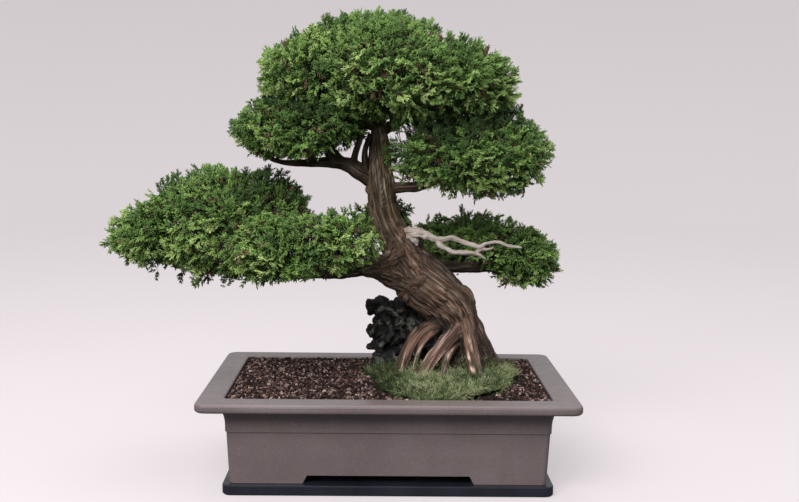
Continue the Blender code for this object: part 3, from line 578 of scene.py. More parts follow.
def plain_look(name):
    """A finish from the table of those coloured by one noise."""
    roughness, specular, cloud, stops, bump = PLAIN[name]
    look = Look(name, roughness, specular)
    look.set("Base Color", look.ramp(look.noise(*cloud), stops))
    look.bump(look.noise(*bump[:2]), *bump[2:])
    return look


def stoneware_look():
    look = Look("stoneware_glaze", 0.46, 0.42)
    body = look.ramp(look.grey(look.noise(9, 5), 0.32, 0.68),
                     [(0, (0.128, 0.095, 0.104)), (0.5, (0.152, 0.114, 0.121)), (1, (0.178, 0.137, 0.142))])
    body = look.mix(look.grey(look.noise(30, 6), 0.45, 0.75), body, (0.15, 0.112, 0.108))
    dark, pale = look.noise(900, 2), look.noise(640, 2, distortion=0.4)
    body = look.mix(look.ramp(dark, [(0.6, BLACK), (0.7, WHITE)]), body, (0.09, 0.062, 0.06))
    body = look.mix(look.ramp(pale, [(0.66, BLACK), (0.74, WHITE)]), body, (0.27, 0.225, 0.215))
    # Painted light: the top of the lip is painted paler, standing in for the light from above.
    top = look.grey(look.axis(look.place(), "Z"), RIM_Z - 0.003, RIM_Z - 0.0005, 0.0, 0.4)
    look.set("Base Color", look.mix(top, body, (0.235, 0.192, 0.192)))
    look.rough(look.noise(60, 4), 0.36, 0.5)
    look.set("Coat Weight", 0.38)
    look.set("Coat Roughness", 0.17)
    look.bump(look.noise(420, 5), 0.00022, 0.55)
    look.bump(look.noise(70, 3), 0.0006, 0.35)
    return look.material


def slab_look():
    look = plain_look("slab_lacquer")
    look.rough(look.noise(45, 5), 0.1, 0.26)
    return look.material


def grit_look():
    look = Look("drainage_grit", 0.9, 0.3)
    stones = look.node("TexVoronoi", Scale=170.0, Vector=look.place())
    look.set("Base Color", look.ramp(stones.outputs["Color"], [
        (0.1, (0.12, 0.09, 0.07)), (0.5, (0.24, 0.19, 0.15)), (0.9, (0.36, 0.31, 0.26))]))
    look.bump(stones.outputs["Distance"], 0.002, 0.9)
    return look.material


def granule_look():
    look = Look("soil_granules", 0.93, 0.22)
    tint, part = look.tint()
    colour = look.ramp(tint, [(0.0, (0.006, 0.004, 0.004)), (0.3, (0.016, 0.009, 0.008)),
                              (0.52, (0.054, 0.028, 0.023)), (0.72, (0.132, 0.078, 0.067)),
                              (0.9, (0.3, 0.22, 0.2)), (1.0, (0.46, 0.38, 0.29))])
    # Painted light: each grain is darker at its bottom and lighter on its top.
    shade = look.ramp(part, [(0.0, (0.44, 0.42, 0.42)), (1.0, (1.12, 1.1, 1.08))])
    look.set("Base Color", look.mix(1.0, colour, shade, "MULTIPLY"))
    return look.material


def moss_look():
    look = Look("moss_blades", 0.72, 0.25)
    tint, part = look.tint()
    base, tip = (look.ramp(tint, list(zip((0.0, 0.25, 0.55, 0.85, 1.0), colours))) for colours in (
        [(0.008, 0.012, 0.004), (0.018, 0.028, 0.008), (0.062, 0.088, 0.032), (0.13, 0.155, 0.07),
         (0.13, 0.105, 0.055)],
        [(0.026, 0.034, 0.012), (0.074, 0.106, 0.036), (0.29, 0.36, 0.165), (0.5, 0.54, 0.31),
         (0.33, 0.26, 0.15)]))
    look.set("Base Color", look.mix(part, base, tip))
    return look.material


def leaf_look():
    """Leaf sprays: the lowest tints are dead and brown, the others green from shade to light."""
    look = Look("leaf_scale", 0.52, 0.32)
    tint, part = look.tint()
    stops = (0.0, 0.06, 0.1, 0.5, 0.9, 1.0)
    base, middle, tip = (look.ramp(tint, list(zip(stops, colours))) for colours in (
        [(0.07, 0.042, 0.026), (0.06, 0.038, 0.024), (0.025, 0.056, 0.014), (0.068, 0.127, 0.022),
         (0.15, 0.225, 0.045), (0.165, 0.235, 0.05)],
        [(0.18, 0.11, 0.068), (0.15, 0.1, 0.06), (0.078, 0.163, 0.044), (0.264, 0.442, 0.106),
         (0.54, 0.7, 0.235), (0.59, 0.735, 0.26)],
        [(0.33, 0.22, 0.14), (0.27, 0.19, 0.11), (0.216, 0.374, 0.13), (0.675, 0.848, 0.405),
         (0.93, 0.965, 0.69), (0.93, 0.965, 0.72)]))
    low = look.mix(look.grey(part, 0.0, 0.5), base, middle)
    look.set("Base Color", look.mix(look.grey(part, 0.5, 1.0), low, tip))
    return look.material


def rock_look():
    look = Look("rock_dark", 0.78, 0.35)
    look.set("Base Color", look.shaded(look.attribute("tone", "Color"), look.noise(210, 8), 0.55, 1.5))
    look.rough(look.noise(90, 4), 0.62, 0.9)
    look.bump(look.noise(330, 8), 0.0016, 0.8)
    return look.material


def bark_look():
    look = Look("bark_fibrous", 0.82, 0.28)
    thread, flake, strand = (look.fibres(6, 820, 36, 0.3), look.fibres(5, 300, 13, 0.5),
                             look.fibres(5, 470, 20, 0.2))
    colour = look.shaded(look.attribute("tone", "Color"), thread, 0.6, 1.4)
    colour = look.shaded(colour, strand, 0.42, 1.58, 0.33, 0.67)
    colour = look.mix(look.grey(flake, 0.56, 0.72, 0.0, 0.5), colour, (0.27, 0.195, 0.152))
    colour = look.mix(look.grey(flake, 0.46, 0.34, 0.0, 0.78), colour, (0.018, 0.011, 0.007))
    look.set("Base Color", colour)
    look.rough(flake, 0.68, 0.92)
    look.bump(flake, 0.0018, 0.9)
    look.bump(strand, 0.0012, 0.9)
    look.bump(thread, 0.0007, 0.8)
    return look.material


def deadwood_look():
    look = Look("deadwood_bleached", 0.66, 0.3)
    thread = look.fibres(6, 1100, 45, 0.2)
    check = look.ramp(look.fibres(4, 520, 16, 0.3), [(0.34, WHITE), (0.42, BLACK)])
    colour = look.shaded(look.attribute("tone", "Color"), thread, 0.8, 1.1, 0.28, 0.72)
    look.set("Base Color", look.mix(check, colour, (0.15, 0.112, 0.085)))
    look.bump(thread, 0.0004, 0.7)
    look.bump(look.fibres(4, 420, 22), 0.0007, 0.7)
    return look.material


def stage_look(name, colour, glow):
    look = Look(name, 0.95, 0.1)
    look.set("Base Color", look.shaded(tuple(0.42 * part for part in colour), look.noise(1.3, 3),
                                       0.985, 1.015))
    look.set("Emission Color", (*colour, 1.0))
    look.set("Emission Strength", glow)
    return look.material


# ---- trunk, branches and deadwood
def bark_colours(verts, crack, flute, grain, green_from, seed):
    """Brown bark: pink at the roots, grey-brown on the trunk, greenish above, dark in its cracks."""
    height = verts[:, 2] - RIM_Z
    low, mid, high = (0.158, 0.086, 0.06), (0.092, 0.058, 0.038), (0.064, 0.047, 0.023)
    colour = blend(low, mid, ease((height - 0.05) / 0.09))
    colour = blend(colour, high, ease((height - green_from) / 0.09))
    streak = fibre(grain, 0.0075, 0.08, seed + 11)
    colour = blend(colour, (0.185, 0.088, 0.056), np.clip(streak * 1.5, 0, 0.55))
    ashen = fibre(grain, 0.0046, 0.042, seed + 12)
    pale = blend((0.6, 0.41, 0.35), (0.245, 0.19, 0.15), ease((height - 0.035) / 0.07))
    bare = ease((0.08 - height) / 0.05)
    colour = blend(colour, pale, np.clip(ashen * (1.9 + 2.2 * bare) - 0.12, 0, 0.85))
    colour = blend(colour, (0.022, 0.013, 0.009), 0.92 * crack)
    mottle = layered_noise(grain / [0.005, 0.005, 0.016], 2, seed + 13)
    # Painted light: the flutes' ridges are lighter and their hollows darker; the mottle is the bark's own
    # tone.
    shade = (1 + 0.65 * np.clip(flute, -0.7, 0.7)) * (1 + 0.42 * np.clip(mottle, -0.8, 0.8))
    return colour * shade[:, None]


def openness(verts, normals, faces, reach, seed):
    """How open each point's surroundings are, from 0 in a deep recess to 1."""
    rng = np.random.default_rng(seed)
    tree = BVHTree.FromPolygons([Vector(v) for v in verts], faces.tolist())
    seen = np.zeros(len(verts))
    aims = unit(rng.normal(size=(10, 3)))
    for aim in aims:
        lean = unit(normals + aim * 0.95)
        for i, (start, way) in enumerate(zip(verts + normals * 0.0012, lean)):
            seen[i] += tree.ray_cast(Vector(start), Vector(way), reach)[0] is None
    return seen / len(aims)


def normals_of(verts, faces):
    across = np.cross(verts[faces[:, 2]] - verts[faces[:, 0]], verts[faces[:, 3]] - verts[faces[:, 1]])
    total = np.zeros_like(verts)
    for corner in range(4):
        np.add.at(total, faces[:, corner], across)
    return unit(total)


def faces_among(faces, kept):
    """The faces whose corners are all kept, renumbered."""
    lookup = np.cumsum(kept) - 1
    return lookup[faces[kept[faces].all(axis=1)]]


def make_trunk(look):
    """The trunk and its roots; gives back the places, with normals, that moss can cling to."""
    limbs = [Limb(stations) for stations in (TRUNK, *ROOTS, *KNOBS)]
    limbs.append(Limb(BRANCHES["branch_lower_left"][0][:3]))
    verts, faces, grain, crack, flute = skin_wood(limbs, TRUNK_VOXEL, 3, 2.2, 5)
    colours = bark_colours(verts, crack, flute, grain, 0.17, 5)
    height = verts[:, 2] - RIM_Z
    low = height < 0.115
    normals = normals_of(verts, faces)
    # Painted shade: low down the bark is darkened towards near black where it is closed in, in the recesses
    # between the roots.
    recess = np.ones(len(verts))
    recess[low] = openness(verts[low], normals[low], faces_among(faces, low), 0.035, 6)
    colours = blend(np.array([0.01, 0.008, 0.006]), colours, ease((recess - 0.38) / 0.5))
    # Painted shade: the right side of the foot is darkened, standing in for its shadow side.
    painted_shade_right_foot = ease((verts[:, 0] - 0.117) / 0.014) * ease((0.078 - height) / 0.03)
    colours = colours * (1 - 0.62 * painted_shade_right_foot)[:, None]
    # Green film climbs from the moss, mostly along the cracks and flutes.
    patch = layered_noise(verts / 0.012, 3, 61)
    climb = ease((0.036 + 0.034 * patch - height) / 0.02) * ease((0.55 + patch) * 1.4)
    inward = 1 - 0.85 * ease(np.abs(flute) * 3)
    colours = blend(colours, (0.05, 0.062, 0.022), 0.75 * climb * np.clip(inward + crack, 0, 1))
    settle(mesh_object("trunk_bark", verts, faces, look, colours=colours, vectors=grain), "bark", "trunk")
    # Moss clings low down to the sides of the roots.
    hold = (height < 0.052) & (height > 0.0) & (recess > 0.15) & (recess < 0.92)
    return verts[hold], normals[hold]


def make_branch(name, look, seed):
    limbs = [Limb(stations, 0.002) for stations in BRANCHES[name]]
    verts, faces, grain, crack, flute = skin_wood(limbs, BRANCH_VOXEL, 2, 4.0, seed)
    colours = bark_colours(verts, crack, flute, grain, 0.1, seed) * BRANCH_SHADE.get(name, 0.6)
    settle(mesh_object(f"{name}_bark", verts, faces, look, colours=colours, vectors=grain), "bark", name)


def make_jin(look):
    limbs = [Limb(stations, 0.0015) for stations in JIN]
    verts, faces, grain, crack, wave = skin_wood(limbs, JIN_VOXEL, 2, 9.0, 77, deadwood_relief)
    colour = blend((0.36, 0.3, 0.262), (0.46, 0.405, 0.375), ease(0.5 + wave))
    colour = blend(colour, (0.3, 0.2, 0.14), 0.8 * ease((0.034 - verts[:, 0]) / 0.022))
    colour = blend(colour, (0.22, 0.165, 0.125), 0.6 * crack)
    jin = mesh_object("jin_bleached", verts, faces, look, colours=colour, vectors=grain)
    settle(jin, "deadwood", "jin_deadwood")


# ---- rock
def ball(sides=24, rings=16):
    """A unit sphere of quads, its poles closed by small rings."""
    tilt = np.linspace(0.06, math.pi - 0.06, rings)
    verts = np.vstack([ring(UP * math.cos(t), X_AXIS, Y_AXIS, math.sin(t), sides) for t in tilt])
    return verts, ring_faces(rings, sides, turned=True)


def make_rock(look):
    ball_verts, ball_faces = ball()
    lumps = []
    for x, y, z, *radii in ROCK:
        swell = 1 + 0.3 * noise(ball_verts * 1.7 + [x, y, z], 3)[:, None]
        centre = np.array([x, y, z]) * MM + [0, 0, RIM_Z]
        lumps.append((centre + ball_verts * swell * np.array(radii) * MM, ball_faces))
    verts, normals, faces = remeshed(mesh_object("rough", *joined(lumps)), ROCK_VOXEL, 4)
    bent = verts + noise_vectors(verts / 0.018, 90) * 0.008
    lump = layered_noise(bent / 0.017, 3, 20)
    ridge = 1 - np.abs(noise(bent / 0.011, 30)) * 2.4
    pit = ease((noise(bent / 0.0125, 44) - 0.18) / 0.22)
    relief = 0.0085 * lump + 0.002 * ridge - 0.0085 * pit + 0.0007 * layered_noise(verts / 0.0035, 3, 50)
    verts = verts + normals * relief[:, None]
    patch = layered_noise(bent / 0.016, 3, 70)
    colour = blend((0.002, 0.0021, 0.002), (0.007, 0.0074, 0.0068), ease(0.5 + lump))
    colour = blend(colour, (0.15, 0.155, 0.13), 0.85 * ease((patch - 0.24) / 0.24) * (1 - pit))
    # Painted highlight: the ridges are paler, but not in the pits.
    colour = blend(colour, (0.075, 0.07, 0.067), 0.45 * ease((ridge - 0.66) / 0.34) * (1 - pit))
    settle(mesh_object("rock_craggy", verts, faces, look, colours=colour), "rock", "rock")


# ---- scattering
def triangles_of(node):
    """Corners of a CAD node's triangles."""
    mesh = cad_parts[node].data
    mesh.calc_loop_triangles()
    return read(mesh.vertices, "co", 3)[read(mesh.loop_triangles, "vertices", 3, np.int32)]


def across_of(corners):
    return np.cross(corners[:, 1] - corners[:, 0], corners[:, 2] - corners[:, 0])


def scatter(corners, count, rng, below=1.0):
    """Random points over triangles, by area, with their face normals; below is the share of
    points that triangles facing down get."""
    cross = across_of(corners)
    odds = np.linalg.norm(cross, axis=1) * np.where(unit(cross)[:, 2] < -0.35, below, 1.0)
    pick = rng.choice(len(corners), count, p=odds / odds.sum())
    a, b = rng.random(count), rng.random(count)
    flip = a + b > 1
    a[flip], b[flip] = 1 - a[flip], 1 - b[flip]
    tri = corners[pick]
    points = tri[:, 0] + a[:, None] * (tri[:, 1] - tri[:, 0]) + b[:, None] * (tri[:, 2] - tri[:, 0])
    return points, unit(cross[pick])


def thinned(points, spacing):
    """Indices of points that keep at least their spacing from each other."""
    cells, kept = {}, []
    size = float(np.max(spacing))
    spacing = np.broadcast_to(spacing, len(points))
    for i, point in enumerate(points):
        key = tuple(np.floor(point / size).astype(int))
        near = [j for dx in (-1, 0, 1) for dy in (-1, 0, 1) for dz in (-1, 0, 1)
                for j in cells.get((key[0] + dx, key[1] + dy, key[2] + dz), ())]
        if near:
            gaps = points[near] - point
            if (np.einsum("ij,ij->i", gaps, gaps) < spacing[i] ** 2).any():
                continue
        cells.setdefault(key, []).append(i)
        kept.append(i)
    return np.array(kept)


def tree_of(node):
    corners = triangles_of(node)
    verts = [Vector(v) for v in corners.reshape(-1, 3)]
    return BVHTree.FromPolygons(verts, [(i, i + 1, i + 2) for i in range(0, len(verts), 3)])


def inside(tree, point):
    """True if a point lies inside a closed body."""
    place, normal, _, _ = tree.find_nearest(Vector(point))
    return place is not None and (Vector(point) - place).dot(normal) < 0


def random_turns(directions, rng):
    """Two directions across each direction, rolled by chance."""
    helper = np.where(np.abs(directions[:, 2:3]) > 0.9, [[1.0, 0, 0]], [[0, 0, 1.0]])
    side = unit(np.cross(helper, directions))
    other = np.cross(directions, side)
    roll = rng.random(len(directions)) * 2 * math.pi
    across = side * np.cos(roll)[:, None] + other * np.sin(roll)[:, None]
    return across, np.cross(directions, across)


def nearest_of(points, targets):
    """For each point, the index of the nearest target."""
    tree = KDTree(len(targets))
    for i, target in enumerate(targets):
        tree.insert(target, i)
    tree.balance()
    return np.array([tree.find(point)[1] for point in points])


def tinted(tints, parts):
    """UVs that carry each small body's tint, and each of its points' place from base to tip."""
    parts = np.broadcast_to(parts, tints.shape)
    return np.stack([np.clip(tints, 0.002, 0.998), parts], axis=2).reshape(-1, 2)


# ---- foliage
def spindles(bases, tips, widths, flat):
    """Closed three-sided leaflets from bases to tips; flat is the direction across their thin side."""
    line = tips - bases
    across = unit(np.cross(line, flat))
    thin = unit(np.cross(across, line))
    belly = bases + 0.4 * line
    half = 0.5 * widths[:, None]
    rows = [bases, belly + across * half - thin * half * 0.45, belly + thin * half * 0.75,
            belly - across * half - thin * half * 0.45, tips]
    return np.stack(rows, axis=1)


def spray(rng, pairs, length, width):
    """A fan of leaflets along +Z in the XZ plane: its leaflets' points, and base to tip from 0 to 1."""
    bases, tips, widths = [(0.0, 0.0, 0.0)], [(0.0, 0.0, length)], [width * 0.85]
    for k in range(pairs):
        t = 0.1 + 0.78 * (k + 0.35 * rng.random()) / pairs
        for side in (-1, 1):
            angle = math.radians(rng.uniform(26, 52) * (1 - 0.35 * t))
            reach = length * (0.52 - 0.3 * t) * rng.uniform(0.8, 1.2)
            base = np.array([0.0, 0.0, t * length])
            bases.append(base)
            tips.append(base + reach * np.array([side * math.sin(angle), rng.uniform(-0.35, 0.35),
                                                 math.cos(angle)]))
            widths.append(width * rng.uniform(0.85, 1.15))
    points = spindles(np.array(bases), np.array(tips), np.array(widths), np.array([0.0, 1.0, 0.0]))
    points[..., 1] += rng.uniform(-0.35, 0.35) / length * points[..., 2] ** 2
    along = np.clip(points[..., 2] / length, 0, 1)
    lift = np.array([0.0, 0.35, 0.35, 0.35, 1.0])
    return points.reshape(-1, 3), np.clip(0.45 * along + 0.55 * lift, 0, 1).reshape(-1)


def grow_sprays(kinds, origins, directions, sizes, tints, tips_to, rng, flats=None):
    """Places a spray at each origin. tips_to is how light each one's tips are, and flats the
    direction that its flat side faces, which is left to chance without it."""
    if flats is None:
        across, other = random_turns(directions, rng)
    else:
        across = unit(np.cross(flats, directions))
        other = np.cross(directions, across)
    turn = np.stack([across, other, directions], axis=2) * sizes[:, None, None]
    which = rng.integers(0, len(kinds), len(origins))
    parts, uvs = [], []
    for number, (points, part) in enumerate(kinds):
        own = which == number
        placed = np.einsum("nij,vj->nvi", turn[own], points) + origins[own][:, None]
        parts.append((placed.reshape(-1, 3), repeated(SPINDLE_FACES, 5, len(points) // 5 * int(own.sum()))))
        steps = np.tile(SPINDLE_STEPS, len(points) // 5)
        uvs.append(tinted(tints[own][:, None] + steps,
                          np.clip(part[None] * tips_to[own][:, None], 0.002, 0.998)))
    verts, faces = joined(parts)
    return verts, faces, np.vstack(uvs)


def twig_tubes(starts, ends, thick, thin, rng):
    """Thin bowed twigs from starts to ends, as closed tubes with four sides."""
    count, rings, sides = len(starts), 6, 4
    line = ends - starts
    reach = np.linalg.norm(line, axis=1)[:, None]
    bow = unit(rng.normal(size=(count, 3))) * reach * TWIG_SAG - UP * reach * TWIG_SAG * 0.8
    across, other = random_turns(unit(line), rng)
    rows = []
    for number in range(rings):
        t = number / (rings - 1)
        wiggle = rng.normal(size=(count, 3)) * reach * 0.018 * (0 < number < rings - 1)
        centre = starts + line * t + bow * (4 * t * (1 - t)) * 0.5 + wiggle
        rows += ring(centre, across, other, (thick * (1 - t) + thin * t)[:, None], sides)
    verts = np.stack(rows, axis=1).reshape(-1, 3)
    return verts, repeated(ring_faces(rings, sides), rings * sides, count)


def reach_out(name, points, level):
    """How far each point of a pad moves out to close the space towards its neighbours."""
    moves = np.zeros_like(points)
    for other, reach, pull in NEIGHBOURS.get(name, []):
        tree = tree_of(other)
        for i, point in enumerate(points):
            place, _, _, gap = tree.find_nearest(Vector(point))
            if place is not None and gap < reach:
                share = float(ease((reach - gap) / (0.4 * reach)))
                moves[i] += share * (pull * (np.array(place) - point) + (0.58 - pull) * gap * level[i])
    return moves


def drawn_out(name, points):
    """How far the end of a pad next to the trunk is drawn out towards it."""
    shift = np.zeros_like(points)
    amount = END_SHIFT.get(name, 0.0)
    low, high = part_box(name)
    inward = high.x - points[:, 0] if amount > 0 else points[:, 0] - low.x
    shift[:, 0] = amount * ease(1 - inward / 0.055)
    return shift


def cover_over(name, points):
    """How closely another pad hangs over each point, from 0 for none to 1, which sets the painted shadow
    under it.
    """
    trees = [tree_of(other) for other in PADS if other != name]
    gaps = np.full(len(points), COVER_REACH)
    for i, point in enumerate(points):
        for tree in trees:
            gap = tree.ray_cast(Vector(point), Vector(UP), COVER_REACH)[3]
            gaps[i] = min(gaps[i], COVER_REACH if gap is None else gap)
    return ease((COVER_REACH - gaps) / (0.65 * COVER_REACH))


def grow_fronds(name, corners, bones, seed, rng):
    """The outer sprays of a pad, with the roots and the aims of its fronds."""
    points, normals = scatter(corners, FROND_TRIES, rng, 0.55)
    keep = thinned(points, FROND_SPACING)
    points, normals = points[keep], normals[keep]
    painted_shadow_cover = cover_over(name, points)
    outward = unit(points - bones[nearest_of(points, bones)])
    level = unit(outward * [1, 1, 0.15])
    chance = rng.normal(size=normals.shape)
    aim = unit(0.8 * normals + 0.35 * outward + 0.45 * level + 0.06 * UP + 0.34 * chance)
    droop = unit(normals * 0.45 + outward * [1, 1, 0.2] * 1.1 + chance * 0.3)
    aim = np.where(normals[:, 2:3] < -0.35, droop, aim)
    clump = np.minimum(noise(points / 0.036, seed) * 0.014 + noise(points / 0.016, seed + 5) * 0.005, 0.006)
    points = points + reach_out(name, points, level)
    hanging = rng.random(len(points)) < 0.1
    rise = UNDERSIDE_RISE.get(name, 0.0) * ease((-0.15 - normals[:, 2]) / 0.35)
    points = points + UP * np.where(hanging, 0.45 * rise, rise)[:, None]
    points = points + drawn_out(name, points)
    roots = points + aim * (clump - FROND_DEPTH)[:, None]
    # Each frond is a flat fan of sprays set along a stem, with its broad side up and outward.
    broad = 0.7 * UP + 0.6 * normals + 0.42 * rng.normal(size=normals.shape)
    broad = unit(broad - aim * np.sum(broad * aim, axis=1)[:, None])
    side = np.cross(broad, aim)
    count = len(points)
    # Painted light: fronds that face up are painted darker and those that face sideways lighter, and those
    # under another pad darker still as painted shadow.
    painted_light_upward = ease((aim[:, 2] + 0.6) / 1.7)
    frond_tint = 0.5 + 0.48 * noise(points / 0.048, seed + 9) + rng.normal(size=count) * 0.17
    frond_tint = frond_tint * (1.17 - 0.5 * painted_light_upward) * (1 - 0.55 * painted_shadow_cover) * PAD_PAINTED_LIGHT.get(name, 1.0)
    frond_light = (1.2 - 0.53 * painted_light_upward) * (1 - 0.65 * painted_shadow_cover) * rng.uniform(0.5, 1.0, count) ** 0.7
    frond_size = rng.uniform(0.8, 1.12, count) * np.where(rng.random(count) < 0.07, 1.34, 1.0)
    curl = rng.normal(size=count) * 0.1 - 0.1
    rusty = rng.random(count) < 0.014
    # From here on each row is a spray, and which is its frond.
    which = np.repeat(np.arange(count), len(FROND))
    total = len(which)
    place, angle, part = np.tile(np.array(FROND).T, count)
    angle = np.radians(angle + rng.normal(size=total) * 7)
    direction = unit(np.cos(angle)[:, None] * aim[which] + np.sin(angle)[:, None] * side[which]
                     + (rng.normal(size=total) * 0.16 + curl[which] * place)[:, None] * broad[which])
    stem = place * FROND_LENGTH * frond_size[which]
    origin = roots[which] + aim[which] * stem[:, None]
    origin += broad[which] * (curl[which] * stem * place)[:, None]
    origin += rng.normal(size=(total, 3)) * 0.0009
    size = part * frond_size[which] * rng.uniform(0.85, 1.15, total)
    tint = np.clip(frond_tint[which] + rng.normal(size=total) * 0.07, 0.11, 0.86)
    rust = (rng.random(total) < 0.01) | (rusty[which] & (rng.random(total) < 0.6))
    tint = np.where(rust, rng.uniform(0.0, 0.055, total), tint)
    light = frond_light[which] * rng.uniform(0.72, 1.08, total) * (0.76 + 0.28 * place)
    kinds = [spray(rng, 5, SPRAY_LENGTH, LEAFLET_WIDTH) for _ in range(10)]
    flat = unit(broad[which] + rng.normal(size=(total, 3)) * 0.28)
    return grow_sprays(kinds, origin, direction, size, tint, light, rng, flat), roots, aim


def grow_core(name, corners, rng):
    """Larger sprays deeper in a pad, which close its gaps, darker than the outer ones as painted shade."""
    points, normals = scatter(corners, CORE_TRIES, rng)
    outer, middle, inner = CORE_DEPTHS
    depth = np.where(rng.random(len(points)) < 0.62, rng.uniform(outer, middle, len(points)),
                     rng.uniform(middle, inner, len(points)))
    points = points - unit(normals + 0.25 * UP) * depth[:, None]
    keep = thinned(points, CORE_SPACING)
    points, normals = points[keep], normals[keep]
    own = tree_of(name)
    within = np.array([inside(own, p) for p in points])
    points, normals = points[within], normals[within]
    which = np.repeat(np.arange(len(points)), 4)
    total = len(which)
    direction = unit(normals[which] * 0.5 + rng.normal(size=(total, 3)))
    coarse = [spray(rng, 3, CORE_LENGTH, CORE_WIDTH) for _ in range(6)]
    size = rng.uniform(0.8, 1.1, total)
    # Painted shade: the core's sprays take only darker tints and dim tips; one in ten is dead and brown.
    tint = np.where(rng.random(total) < 0.1, 0.03, rng.uniform(0.14, 0.5, total))
    return grow_sprays(coarse, points[which], direction, size, tint, np.full(total, 0.5), rng)


def cut_pieces(title, look, verts, faces, uv):
    """Sprays as pieces of no more than about PIECE_FACES faces, cut from left to right.
    Sprays as pieces that are small enough to travel whole, cut from left to right.
    """
    parts = max(1, math.ceil(len(faces) / PIECE_FACES))
    order = np.argsort(verts[faces[:, 0], 0], kind="stable")
    taken = np.zeros(len(verts) // 5, bool)
    pieces = []
    for part in range(parts):
        leaf = np.zeros(len(taken), bool)
        leaf[faces[order[len(order) * part // parts:len(order) * (part + 1) // parts], 0] // 5] = True
        leaf &= ~taken
        taken |= leaf
        chosen = np.repeat(leaf, 5)
        name = title + (f"_{part + 1}" if parts > 1 else "")
        pieces.append(mesh_object(name, verts[chosen], faces_among(faces, chosen), look, uv=uv[chosen]))
    return pieces


def make_pad(name, looks, seed):
    """One pad: fronds over its surface, a leafy core darkened as painted shade, and twigs to its branches."""
    rng = np.random.default_rng(seed)
    limbs = [Limb(stations, 0.004) for branch in PADS[name] for stations in BRANCHES[branch]]
    bones = np.vstack([limb.points[len(limb.points) // 4:] for limb in limbs])
    corners = triangles_of(name)
    outer, roots, aim = grow_fronds(name, corners, bones, seed, rng)
    pieces = cut_pieces(f"{name}_sprays", looks["leaf"], *outer)
    pieces += cut_pieces(f"{name}_core", looks["leaf"], *grow_core(name, corners, rng))
    for piece in pieces:
        settle(piece, "foliage")
    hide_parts(name)
    # Twigs: from the branch to a fork under each group of fronds, and on along their stems.
    forks = roots[thinned(roots, FORK_SPACING)]
    bone = bones[nearest_of(forks, bones)]
    forks = bone + (forks - bone) * FORK_PLACE
    starts = np.vstack([bone, forks[nearest_of(roots, forks)]])
    ends = np.vstack([forks, roots + aim * 0.5 * FROND_LENGTH])
    counts = (len(forks), len(roots))
    verts, faces = twig_tubes(starts, ends, np.repeat(TWIG_RADII[:2], counts),
                              np.repeat(TWIG_RADII[1:], counts), rng)
    settle(mesh_object(name.replace("foliage", "twigs"), verts, faces, looks["twig"]), "bark")


# ---- ground cover
def clear_ground(points, *nodes):
    """Which points have none of the nodes over them."""
    trees = [tree_of(node) for node in nodes]
    free = np.ones(len(points), bool)
    for i, point in enumerate(points):
        start = Vector(point) + Vector((0, 0, -0.004))
        free[i] = not any(tree.ray_cast(start, Vector((0, 0, 1)), 0.05)[0] for tree in trees)
    return free


def soil_points(count, margin, rng):
    """Random points on top of the soil, and their normals, at least a margin away from the pot."""
    corners = triangles_of("soil")
    points, normals = scatter(corners[unit(across_of(corners))[:, 2] > 0.5], count, rng)
    low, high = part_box("soil")
    within = ((points[:, 0] > low.x + margin) & (points[:, 0] < high.x - margin)
              & (points[:, 1] > low.y + margin) & (points[:, 1] < high.y - margin))
    return points[within], normals[within]


def icosahedron():
    g = (1 + math.sqrt(5)) / 2
    verts = np.array([(-1, g, 0), (1, g, 0), (-1, -g, 0), (1, -g, 0), (0, -1, g), (0, 1, g),
                      (0, -1, -g), (0, 1, -g), (g, 0, -1), (g, 0, 1), (-g, 0, -1), (-g, 0, 1)], float)
    return unit(verts), [(0, 11, 5), (0, 5, 1), (0, 1, 7), (0, 7, 10), (0, 10, 11), (1, 5, 9), (5, 11, 4),
                         (11, 10, 2), (10, 7, 6), (7, 1, 8), (3, 9, 4), (3, 4, 2), (3, 2, 6), (3, 6, 8),
                         (3, 8, 9), (4, 9, 5), (2, 4, 11), (6, 2, 10), (8, 6, 7), (9, 8, 1)]


def make_granules(look):
    """Coarse grains of earth and bark over the open soil."""
    rng = np.random.default_rng(31)
    points, _ = soil_points(GRAIN_TRIES, 0.0026, rng)
    size = rng.uniform(*GRAIN_SIZES, len(points))
    keep = thinned(points, size * 1.05 + 0.0003)
    points, size = points[keep], size[keep]
    # Grains lie up to the cushion of moss, under its solid's rim.
    moss_low, moss_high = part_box("moss_carpet")
    inward = unit(([*(moss_low + moss_high).xy / 2, 0.0] - points) * [1, 1, 0])
    free = clear_ground(points + MOSS_RIM * inward, "moss_carpet") & clear_ground(points, "rock", "trunk")
    points, size = points[free], size[free]
    shape, faces = icosahedron()
    count = len(points)
    along = unit(rng.normal(size=(count, 3)))
    across, other = random_turns(along, rng)
    stretch = np.stack([rng.uniform(0.75, 1.15, count), rng.uniform(0.6, 0.95, count),
                        rng.uniform(0.9, 1.45, count)], axis=1)
    turn = np.stack([across, other, along], axis=2) * stretch[:, None]
    local = shape[None] * (1 + rng.normal(size=(count, len(shape), 1)) * 0.13)
    verts = np.einsum("nij,nvj->nvi", turn, local) * size[:, None, None]
    lift = rng.uniform(-0.35, 0.85, count) * size
    verts += (points + UP * lift[:, None])[:, None]
    # Away from the mound no grain stands above the lip.
    outer = np.linalg.norm(points[:, :2] - MOUND, axis=1)[:, None] > MOUND_REACH
    verts[..., 2] = np.where(outer, np.minimum(verts[..., 2], RIM_Z + 0.0015), verts[..., 2])
    tint = np.clip(rng.beta(1.35, 1.75, count) + 0.22 * noise(points / 0.02, 8), 0.02, 0.9)
    tint = np.where(rng.random(count) < 0.02, rng.uniform(0.92, 0.99, count), tint)
    # The second UV number is each point's height in its grain, which the grains' look turns into painted
    # light.
    part = np.clip(0.5 + 0.5 * (verts[..., 2] - points[:, 2:3]) / (1.3 * size[:, None]), 0.01, 0.99)
    uv = tinted(tint[:, None] + TINT_STEP * local[..., 0], part)
    settle(mesh_object("soil_granules", verts.reshape(-1, 3), repeated(faces, len(shape), count), look,
                       smooth=False, uv=uv), "soil")


